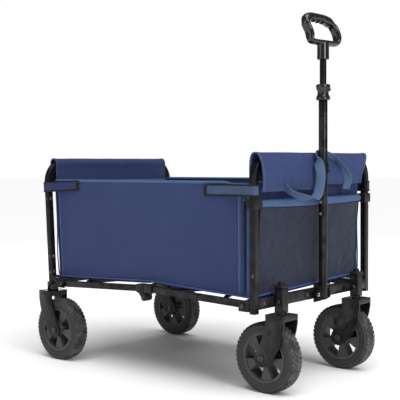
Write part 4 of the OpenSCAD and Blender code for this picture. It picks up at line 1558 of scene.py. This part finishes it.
@dataclass
class EndWall:
    """One end wall of the basket, with the strip of floor that stays with it."""

    space: EndSpace
    name: str
    path: tuple[tuple[float, float], ...]
    half: float
    stands_for: str
    length: float = 0.36
    belly: float = 1.4 * MM
    line: list[Vector] = field(default_factory=list)

    def point(self, across: float, along: float) -> Vector:
        """Finds a point of the wall.

        Args:
            across: its share of the way from the left edge to the right edge.
            along: its share of the way from the floor's free edge up to the rim.

        Returns:
            The point.
        """
        spot = self.line[round(along * (len(self.line) - 1))]
        out, z = spot.x * MM, spot.y * MM
        y = self.half * (2.0 * across - 1.0)
        rise = ease((z - 0.26) / 0.05) * ease((0.52 - z) / 0.05)
        fade = math.sin(math.pi * across) ** 0.5
        out += rise * fade * (self.belly + 1.3 * MM * ripple(Vector((0.0, y, z)), 0.1, 5.0))
        return self.space.at(out, y, z)

    def _upright(self, across: float, corner: int) -> list[Vector]:
        """Runs the piping up one side edge, where it bows out a little above the floor.

        Args:
            across: 0 for the left edge or 1 for the right edge.
            corner: the step of the wall's line where it leaves the floor.

        Returns:
            The piping's middle line.
        """
        outwards = self.space.outwards * 1.2 * MM
        side = Y_AXIS * (2.0 * across - 1.0)
        last = len(self.line) - 1
        found = []
        for k in range(corner, last + 1):
            bow = 4.5 * MM * math.exp(-((k - corner) / last / 0.16 - 0.9) ** 2)
            found.append(self.point(across, k / last) + side * (0.2 * MM + bow) + outwards)
        return found

    def build(self, shop: Workshop) -> None:
        """Makes the wall with its piping.

        Args:
            shop: makes the pieces and gives them their finishes.
        """
        self.line = curve_through(self.path, 71)
        outwards = self.space.outwards
        body = self.space.body
        flat = (2 * self.half, self.length)
        wall = Shape()
        wall.sheet(80, 70, flat, self.point)
        cloth = shop.piece(f"{self.name}_wall", wall.mesh("wall"), NAVY, body, [self.stands_for])
        thicken(cloth, 1.6 * MM)
        corner = next(k for k, spot in enumerate(self.line) if spot.y > self.path[3][1])
        foot = corner / (len(self.line) - 1)
        trim = Shape()
        for across in (0.0, 1.0):
            trim.tube(self._upright(across, corner), 1.9 * MM)
        trim.tube([self.point(t, foot) + outwards * 1.2 * MM for t in shares(60)], 2.1 * MM)
        piping = shop.piece(f"{self.name}_wall_piping", trim.mesh("piping"), BLUE_PIPING, body)
        tape = Shape()
        tape.binding([self.point(t, 1.0) for t in shares(60)], -Z_AXIS, outwards, 6 * MM)
        rim = shop.piece(f"{self.name}_wall_tape", tape.mesh("tape"), LIGHT_TAPE, body)
        thicken(rim, TAPE_THICKNESS)


@dataclass
class Flap:
    """The cloth that is folded over a top bar: a short leg inside and a longer one outside."""

    space: EndSpace
    name: str
    half: float
    start: tuple[float, float]
    ridge: float
    finish: Finish
    flare: float
    low: float
    rise: float
    far_cut: float
    near_cut: float
    stands_for: str
    tape: Finish
    length: float = 0.19
    steps: int = 60
    columns: int = 110
    seams: tuple[float, ...] = (0.7, 0.95, 0.12)
    sections: dict[int, list[Vector]] = field(default_factory=dict)

    def bottom(self, y: float) -> float:
        """Returns the height of the outer edge, which steps up behind the handle, in millimetres."""
        return self.low + self.rise * ease((y / MM + 14) / 34)

    def keys(self, y: float) -> list[tuple[float, float]]:
        """Lists the section's points at a place across: out and height, in millimetres.

        Args:
            y: the place across.

        Returns:
            Its points, from the inner edge to the outer one.
        """
        f = self.flare * ease((abs(y) / MM - 18.0) / 90.0)
        top = self.ridge / MM + 0.5 * ripple(Vector((0.0, y, 0.0)), 0.05, 2.0)
        low = self.bottom(y)
        out, inner = self.start
        return [(out, inner), (out + 0.2, (inner + top) / 2),
                (-14.0, top - 14), (-9.2, top - 3.4), (-4.0, top - 0.4), (4.0, top - 0.4), (9.0, top - 3.2),
                (11.9 + 0.3 * f, top - 13), (12.2 + 0.85 * f, top - 30),
                (12.3 + f, 0.45 * top + 0.55 * low), (12.3 + 0.9 * f, 0.2 * top + 0.8 * low),
                (12.2 + 0.6 * f, low)]

    def point(self, across: float, along: float) -> Vector:
        """Finds a point of the flap.

        Args:
            across: its share of the way from the left edge to the right edge.
            along: its share of the way from the inner edge over the bar to the outer edge.

        Returns:
            The point.
        """
        column = round(across * self.columns)
        if column not in self.sections:
            y = self.half * (2.0 * across - 1.0)
            self.sections[column] = curve_through(self.keys(y), self.steps + 1)
        spot = self.sections[column][round(along * self.steps)]
        down = ease((along - 0.42) / 0.5) if along > 0.42 else 0.0
        left = -self.half + self.near_cut * down
        right = self.half - self.far_cut * down
        y = left + (right - left) * across
        z = spot.y * MM
        soft = down * math.sin(math.pi * across) ** 0.3
        seams = sum(math.exp(-((along - at) / 0.02) ** 2) for at in self.seams[:2])
        folds = -0.9 * MM * down * seams + 1.7 * MM * soft * ripple(Vector((0.0, y, 0.4 * z)), 0.055, 7.0)
        return self.space.at(spot.x * MM + folds + 0.4 * MM * down, y, z)

    def facing(self, across: float, along: float) -> Vector:
        """Finds the direction that the flap's outer face looks at a point.

        Args:
            across: the share of the way to the right edge.
            along: the share of the way from the inner edge to the outer one.

        Returns:
            The direction, of length 1.
        """
        step = 1.0 / self.steps
        before = self.point(across, max(0.0, along - step))
        after = self.point(across, min(1.0, along + step))
        return (after - before).cross(Y_AXIS).normalized() * self.space.facing * -1.0

    def build(self, shop: Workshop) -> None:
        """Makes the flap with its edge tape and seams.

        Args:
            shop: makes the pieces and gives them their finishes.
        """
        body = self.space.body
        flat = (2 * self.half, self.length)
        leaf = Shape()
        leaf.sheet(self.columns, self.steps, flat, self.point)
        cloth = shop.piece(f"{self.name}_flap_cloth", leaf.mesh("flap"), self.finish, body,
                           [self.stands_for])
        thicken(cloth, 1.7 * MM)
        steps = shares(self.steps)
        tape = Shape()
        for across in (0.0, 1.0):
            inwards = Y_AXIS * (1.0 - 2.0 * across)
            tape.binding([self.point(across, t) for t in steps], inwards,
                         [self.facing(across, t) for t in steps], 5.4 * MM)
        edge = shop.piece(f"{self.name}_flap_tape", tape.mesh("tape"), self.tape, body)
        thicken(edge, TAPE_THICKNESS)
        thread = Shape()
        for along in self.seams:
            row = round(along * self.steps) / self.steps
            line = [self.point(u, row) for u in shares(self.columns)[2:-2]]
            thread.stitches(line, self.facing(0.5, along) * 1.0 * MM, 4.6 * MM, 3.2 * MM, 0.8 * MM)
        seam = shop.piece(f"{self.name}_flap_stitching", thread.mesh("thread"), THREAD, body)


@dataclass
class Pocket:
    """The net pocket that hangs from a sleeve on the upper cross tube."""

    left: float = -237 * MM
    right: float = 214 * MM
    sag: float = 4.5 * MM
    flat: tuple[float, float] = (0.451, 0.215)
    sleeve_flat: tuple[float, float] = (0.463, 0.057)
    sleeve_radius: float = 8.9 * MM
    tube: Vector = field(default_factory=Vector)

    def _net(self, across: float, up: float) -> Vector:
        """Finds a point of the net.

        Args:
            across: the share of the way to the right edge.
            up: the share of the way from the bottom to the tube.

        Returns:
            The point.
        """
        y = self.left + (self.right - self.left) * across
        low = (248 + 15 * across) * MM
        high = self.tube.z - 8 * MM - self.sag * math.sin(math.pi * across)
        z = low + (high - low) * up
        out = self.tube.x + (-8 + 12.5 * up ** 1.4) * MM
        swell = math.sin(math.pi * across) ** 0.6 * math.sin(math.pi * up) ** 0.9
        fold = 2.8 * ripple(Vector((0.0, y + 0.35 * z, 0.25 * z)), 0.06, 4.0) * math.sin(math.pi * up)
        return Vector((out + (0.4 * swell + fold) * MM, y, z))

    def _sleeve(self, across: float, round_it: float) -> Vector:
        """Finds a point of the sleeve.

        Args:
            across: the share of the way to the right end.
            round_it: the share of a turn round the tube.

        Returns:
            The point.
        """
        angle = math.tau * round_it
        y = self.left - 5 * MM + (self.right + 12 * MM - self.left) * across
        hang = self.sag * math.sin(math.pi * across) * max(0.0, -math.sin(angle))
        radius = self.sleeve_radius + 0.3 * MM * ripple(Vector((0.0, y, 2.0 * angle * 0.01)), 0.03, 8.0)
        return Vector((self.tube.x + radius * math.cos(angle), y,
                       self.tube.z + radius * math.sin(angle) - hang))

    def build(self, shop: Workshop) -> None:
        """Makes the net, its sleeve and its piping.

        Args:
            shop: makes the pieces and gives them their finishes.
        """
        self.tube = middle_of("front_upper_tube")
        net = Shape()
        net.sheet(90, 44, self.flat, self._net)
        pocket = shop.piece("pocket_net_front", net.mesh("net"), POCKET_NET, "front_frame", ["front_pocket"])
        thicken(pocket, 1.3 * MM)
        band = Shape()
        band.sheet(90, 24, self.sleeve_flat, self._sleeve)
        sleeve = shop.piece("pocket_sleeve", band.mesh("sleeve"), LIGHT_TAPE, "front_frame")
        thicken(sleeve, TAPE_THICKNESS)
        steps = shares(60)
        blue = Shape()
        blue.tube([self._net(t, 0.0) + X_AXIS * 0.8 * MM for t in steps], 2.6 * MM)
        piping = shop.piece("pocket_piping", blue.mesh("piping"), BLUE_PIPING, "front_frame")
        black = Shape()
        for across in (1.0, 0.0):
            black.tube([self._net(across, t) + X_AXIS * 0.6 * MM for t in steps], 1.8 * MM)
        black.tube([self._net(t, 0.0) + Vector((-1.0, 0.0, -4.6)) * MM for t in steps], 1.9 * MM)
        edging = shop.piece("pocket_edging", black.mesh("edging"), BLACK_TAPE, "front_frame")
        thread = Shape()
        thread.stitches([self._net(t, 0.985) for t in steps], X_AXIS * 1.6 * MM)
        thread.stitches([self._net(t, 0.03) for t in steps], X_AXIS * 1.0 * MM)
        seam = shop.piece("pocket_stitching", thread.mesh("thread"), THREAD, "front_frame")


@dataclass
class CornerStrap(Gathered):
    """A band of webbing that ties one upper corner of the basket to its post."""

    layout: Layout
    space: EndSpace
    side: int
    tab: float
    finish: Finish
    stands_for: str | None
    height: float = 27 * MM
    middle_z: float = 505 * MM
    folded_share: float = 0.4
    steps: int = 80
    seams: tuple[float, ...] = (0.14, 0.7, 0.86)

    def plan(self) -> list[tuple[float, float]]:
        """Lists the band's middle line seen from above: out from the posts, and across the wagon.

        Returns:
            Its points, from the tab on the wall to the far face of the post.
        """
        wall = self.layout.wall_y_abs + 4.2 * MM
        outer = self.layout.post_y + 10.3 * MM
        tab = -self.tab
        return [(tab, wall), (0.75 * tab, wall + 0.8 * MM), (0.5 * tab, wall + 2.5 * MM),
                (-32 * MM, outer - 8 * MM), (-15 * MM, outer - 0.2 * MM), (4 * MM, outer),
                (9.4 * MM, outer - 1 * MM), (10.6 * MM, outer - 5 * MM), (10.6 * MM, outer - 14 * MM)]

    def build(self, shop: Workshop) -> None:
        """Makes the band, its black edging and its seam.

        Args:
            shop: makes the pieces and gives them their finishes.
        """
        end = "front" if self.space.facing > 0 else "rear"
        name = f"strap_{end}_{SIDE_NAMES[self.side]}"
        body = self.space.body
        steps = self.steps
        line = curve_through(self.plan(), steps + 1)
        length = length_of(line)

        def place(along: float, up: float) -> Vector:
            """Finds a point of the band from its shares.

            Args:
                along: from the tab on the wall to the post.
                up: from the lower edge to the upper one.

            Returns:
                The point.
            """
            spot = line[round(along * steps)]
            wave = 0.8 * MM * ripple(Vector((spot.x, 0, 0)), 0.07, 2.0)
            z = self.middle_z + (up - 0.5) * self.height + wave
            return self.space.at(spot.x, self.side * spot.y, z)

        band = Shape()
        band.sheet(steps, 8, (length, self.height), place)
        strap = shop.piece(name, band.mesh("strap"), self.finish, body,
                           [self.stands_for] if self.stands_for else [])
        thicken(strap, 2.0 * MM)
        faces = []
        for k in range(steps + 1):
            before, after = place(max(0, k - 1) / steps, 0.5), place(min(steps, k + 1) / steps, 0.5)
            faces.append((after - before).cross(Z_AXIS).normalized())
        black = Shape()
        black.binding([place(t, 0.0) for t in shares(steps)], Z_AXIS, faces, 3.2 * MM, 1.5 * MM)
        black.binding([place(t, 1.0) for t in shares(steps)], -Z_AXIS, faces, 2.2 * MM, 1.5 * MM)
        tab_edge = [place(0.0, t) for t in shares(8)]
        black.binding(tab_edge, X_AXIS * self.space.facing, faces[0], 9 * MM, 1.7 * MM)
        edging = shop.piece(f"{name}_edging", black.mesh("edging"), BLACK_TAPE, body)
        thicken(edging, 0.7 * MM)
        thread = Shape()
        for share in self.seams:
            spot = round(share * steps)
            column = [place(spot / steps, 0.12 + 0.76 * k / 6) for k in range(7)]
            lift = faces[spot] if faces[spot].y * self.side > 0 else -faces[spot]
            thread.stitches(column, lift * 1.3 * MM, 3.2 * MM, 2.2 * MM)
        seam = shop.piece(f"{name}_stitching", thread.mesh("thread"), THREAD, body)
        anchor = self.space.at(0.0, 0.0, 0.0)
        for piece in (strap, edging, seam):
            self.fold(piece, anchor, self.folded_share)


@dataclass
class CarryStrap:
    """The loop of webbing on the front flap, which droops, twists and passes behind the handle."""

    width: float = 25 * MM
    steps: int = 160

    def route(self) -> list[tuple[tuple[float, float, float], tuple[float, float, float]]]:
        """Lists the strap's middle line, in millimetres, and the direction across it at each point.

        Returns:
            Places and directions, from the left end to the right end.
        """
        return [
            ((383, -156, 516), (1.0, 0.0, 0.1)),
            ((391, -140, 501), (1.0, 0.0, 0.1)),
            ((398, -110, 489), (1.0, 0.0, -0.1)),
            ((403, -76, 480), (0.98, 0.0, 0.15)),
            ((404, -52, 480), (0.9, -0.15, 0.45)),
            ((405, -36, 492), (0.82, 0.35, 0.45)),
            ((405, -26, 516), (0.76, 0.64, 0.1)),
            ((404, -22, 543), (0.72, 0.69, 0.0)),
            ((400, -22, 565), (0.75, 0.6, 0.25)),
            ((391, -20, 582), (0.45, 0.35, 0.8)),
            ((384, -8, 591), (-0.2, 0.1, 0.97)),
            ((381.6, 14, 592), (-0.25, 0.0, 0.97)),
            ((382.5, 34, 591), (-0.1, 0.1, 0.98)),
            ((388, 60, 584), (0.6, -0.1, 0.75)),
            ((394, 86, 567), (0.9, -0.35, 0.25)),
            ((396, 108, 546), (0.9, -0.38, 0.1)),
            ((394, 124, 526), (0.85, 0.1, 0.1)),
            ((388, 131, 512), (0.55, 0.8, 0.1)),
            ((383, 132, 500), (0.3, 0.9, 0.1)),
        ]

    def build(self, shop: Workshop) -> None:
        """Makes the ribbon.

        Args:
            shop: makes the pieces and gives them their finishes.
        """
        steps = self.steps
        line = curve_through([spot for spot, _ in self.route()], steps + 1)
        across = curve_through([direction for _, direction in self.route()], steps + 1)
        length = length_of(line) * MM

        def place(along: float, side: float) -> Vector:
            """Finds a point of the ribbon from its shares.

            Args:
                along: from the left end to the right end.
                side: from one edge to the other.

            Returns:
                The point.
            """
            k = round(along * steps)
            tangent = (line[min(steps, k + 1)] - line[max(0, k - 1)]).normalized()
            square = across[k] - tangent * across[k].dot(tangent)
            cup = 0.9 * math.sin(math.pi * side) * square.cross(tangent).normalized()
            return line[k] * MM + square.normalized() * (side - 0.5) * self.width + cup * MM

        ribbon = Shape()
        ribbon.sheet(steps, 8, (length, self.width), place)
        strap = shop.piece("carry_strap_webbing", ribbon.mesh("ribbon"), CARRY_WEBBING, "front_frame",
                           ["carry_strap"])
        thicken(strap, 1.7 * MM)


@dataclass
class FloorBoard:
    """One cloth-covered board of the floor, with piped edges and two sewn lines."""

    node: str
    body: str
    overhang: float
    crown: float = 1.2 * MM

    def build(self, shop: Workshop) -> None:
        """Makes the board and its cover.

        Args:
            shop: makes the pieces and gives them their finishes.
        """
        corners = [v.co.copy() for v in shop.nodes[self.node].data.vertices]
        low_x, high_x = min(c.x for c in corners), max(c.x for c in corners)
        low_z = max(c.z for c in corners if c.x < low_x + 2 * MM)
        high_z = max(c.z for c in corners if c.x > high_x - 2 * MM)
        half = max(c.y for c in corners) - 0.5 * MM
        low_x -= max(0.0, self.overhang)
        high_x += max(0.0, -self.overhang)
        size = (high_x - low_x - 1 * MM, 2 * half)

        def place(along: float, across: float) -> Vector:
            """Finds a point of the cover from its shares.

            Args:
                along: from the rear edge to the front edge.
                across: from left to right.

            Returns:
                The point.
            """
            x = low_x + 0.5 * MM + size[0] * along
            y = half * (2.0 * across - 1.0)
            seams = sum(math.exp(-((across - at) / 0.008) ** 2) for at in (1 / 3, 2 / 3))
            inside = min(1.0, 12 * along, 12 * (1 - along), 12 * across, 12 * (1 - across))
            pad = self.crown * (inside - 0.8 * seams)
            swell = 0.35 * MM * ripple(Vector((x, y, 0.0)), 0.07, 6.0)
            return Vector((x, y, low_z + (high_z - low_z) * along + pad + swell + 0.3 * MM))

        slab = shop.softened(self.node, BLACK_TAPE, 1.6 * MM, f"{self.node}_core")
        slab.data.materials.clear()
        slab.data.materials.append(shop.palette.material(PLASTIC))
        cover = Shape()
        cover.sheet(60, 90, size, place)
        cloth = shop.piece(f"{self.node}_cover", cover.mesh("cover"), BOARD_CLOTH, self.body)
        thicken(cloth, 0.9 * MM)
        steps = shares(60)
        edge = Shape()
        rim = ([place(t, 0.0) for t in steps] + [place(1.0, t) for t in steps]
               + [place(1.0 - t, 1.0) for t in steps] + [place(0.0, 1.0 - t) for t in steps])
        edge.tube(evenly(rim, 240), 1.5 * MM)
        piping = shop.piece(f"{self.node}_piping", edge.mesh("piping"), BLUE_PIPING, self.body)
        thread = Shape()
        for at in (1 / 3, 2 / 3):
            thread.stitches([place(t, at) for t in steps], Z_AXIS * 0.5 * MM, 5 * MM, 3.4 * MM)
        seam = shop.piece(f"{self.node}_stitching", thread.mesh("thread"), THREAD, self.body)


# --------------------------------------------------------------------------- studio


@dataclass
class Studio:
    """The camera, the lights and the plain floor."""

    place: tuple[float, float, float] = (1.6623, -1.9392, 0.5682)
    yaw: float = 0.7162
    pitch: float = 0.0398
    roll: float = -0.006
    lens: float = 79.785
    room_light: float = 0.2
    floor_half: float = 30.0
    floor_grey: float = 0.97
    sun: float = 2.75
    sun_angle: float = math.radians(60.0)
    lit_point: tuple[float, float, float] = (0.0, 0.0, 0.4)

    def build(self) -> None:
        """Sets the scene up round the object."""
        self._camera()
        self._floor()
        self._lights()
        bpy.context.scene.view_settings.view_transform = "Standard"

    def _camera(self) -> None:
        """Makes the camera."""
        forward = Vector((-math.sin(self.yaw) * math.cos(self.pitch),
                          math.cos(self.yaw) * math.cos(self.pitch), -math.sin(self.pitch)))
        level = Vector((math.cos(self.yaw), math.sin(self.yaw), 0.0))
        up = level.cross(forward)
        right = level * math.cos(self.roll) + up * math.sin(self.roll)
        top = up * math.cos(self.roll) - level * math.sin(self.roll)
        data = bpy.data.cameras.new("camera")
        data.lens = self.lens
        camera = bpy.data.objects.new("camera", data)
        bpy.context.scene.collection.objects.link(camera)
        turn = Matrix((right, top, -forward)).transposed()
        camera.matrix_world = Matrix.Translation(self.place) @ turn.to_4x4()
        bpy.context.scene.camera = camera

    def _floor(self) -> None:
        """Makes the pale floor and the pale surroundings."""
        shape = bmesh.new()
        bmesh.ops.create_grid(shape, x_segments=2, y_segments=2, size=self.floor_half)
        mesh = bpy.data.meshes.new("floor")
        shape.to_mesh(mesh)
        shape.free()
        floor = bpy.data.objects.new("floor", mesh)
        bpy.context.scene.collection.objects.link(floor)
        material = bpy.data.materials.new("pale_floor")
        material.use_nodes = True
        shader = material.node_tree.nodes["Principled BSDF"]
        shader.inputs["Base Color"].default_value = (*(self.floor_grey,) * 3, 1.0)
        shader.inputs["Roughness"].default_value = 0.9
        shader.inputs["Specular IOR Level"].default_value = 0.1
        mesh.materials.append(material)
        world = bpy.data.worlds.new("surroundings")
        world.use_nodes = True
        graph = Graph(world.node_tree)
        seen = graph.node("ShaderNodeLightPath").outputs["Is Camera Ray"]
        background = world.node_tree.nodes["Background"]
        background.inputs["Color"].default_value = (1.0, 1.0, 1.0, 1.0)
        graph.feed(background.inputs["Strength"], graph.spread(seen, self.room_light, 1.0))
        bpy.context.scene.world = world

    def _lights(self) -> None:
        """Places the overhead light and three soft lamps."""
        overhead = bpy.data.lights.new("overhead", "SUN")
        overhead.energy = self.sun
        overhead.angle = self.sun_angle
        lamps = [("overhead", overhead, (0.9, -0.5, 3.0))]
        for name, place, size, power in (
                ("key", (3.0, -0.9, 1.5), 1.0, 30.0),
                ("fill", (-0.9, -3.6, 1.5), 2.0, 20.0),
                ("back", (-2.6, 2.6, 1.6), 2.0, 20.0)):
            lamp = bpy.data.lights.new(name, "AREA")
            lamp.size = size
            lamp.energy = power
            lamps.append((name, lamp, place))
        for name, lamp, place in lamps:
            light = bpy.data.objects.new(name, lamp)
            light.location = place
            aim = Vector(self.lit_point) - Vector(place)
            light.rotation_euler = aim.to_track_quat("-Z", "Y").to_euler()
            bpy.context.scene.collection.objects.link(light)


# --------------------------------------------------------------------------- main


def basket(layout: Layout) -> list[object]:
    """Lists the sewn sub-assemblies.

    Args:
        layout: the shared places.

    Returns:
        The sub-assemblies, ready to build.
    """
    end_half = layout.wall_y_abs - 1.6 * MM
    front_path = ((-88, 251), (-50, 251), (-22, 251.4), (-16.6, 256), (-16, 268), (-16, 400), (-16, 529))
    rear_path = ((-112, 236.2), (-60, 238.6), (-19, 240.4), (-13.2, 245), (-12.6, 258), (-12.6, 400),
                 (-12.6, 521))
    sewn: list[object] = [SideWall(layout, side) for side in (LEFT, RIGHT)]
    sewn.append(EndWall(layout.front, "front", front_path, end_half, "front_end_panel"))
    sewn.append(EndWall(layout.rear, "rear", rear_path, end_half - 0.6 * MM, "rear_end_panel"))
    sewn.append(Flap(layout.front, "front", half=251 * MM, start=(-16.0, 529.0), ridge=0.5968,
                     finish=NAVY_FRONT, flare=8.0, low=502.0, rise=13.0, far_cut=46 * MM,
                     near_cut=7 * MM, stands_for="front_flap", tape=EDGE_TAPE))
    sewn.append(Flap(layout.rear, "rear", half=234 * MM, start=(-12.6, 521.0), ridge=0.5888,
                     finish=NAVY, flare=4.0, low=505.0, rise=0.0, far_cut=14 * MM,
                     near_cut=5 * MM, stands_for="rear_flap", tape=NAVY))
    sewn.append(Pocket())
    for side in (LEFT, RIGHT):
        # The front left strap gets the navy webbing painted lighter, as painted light; the others get the
        # plain navy webbing.
        pale = WEBBING_PAINTED_LIGHT if side == LEFT else WEBBING
        sewn.append(CornerStrap(layout, layout.front, side, 166 * MM, pale,
                                "front_corner_straps" if side == LEFT else None))
        sewn.append(CornerStrap(layout, layout.rear, side, 118 * MM, WEBBING,
                                "rear_corner_straps" if side == LEFT else None))
    sewn.append(CarryStrap())
    sewn.append(FloorBoard("front_floor_board", "floor_front", 4 * MM))
    sewn.append(FloorBoard("rear_floor_board", "floor_rear", -4 * MM))
    return sewn


def main() -> None:
    """Builds everything round the frame, in order."""
    logging.basicConfig(level=logging.INFO, format="%(message)s")
    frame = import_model()
    Studio().build()
    shop = Workshop(frame)
    layout = Layout.read()
    HardParts().build(shop)
    Fasteners(layout).build(shop)
    for position in ("front_left", "front_right", "rear_left", "rear_right"):
        Tyre(position).build(shop)
    Handle().build(shop)
    for part in basket(layout):
        part.build(shop)


if __name__ == "__main__":
    main()
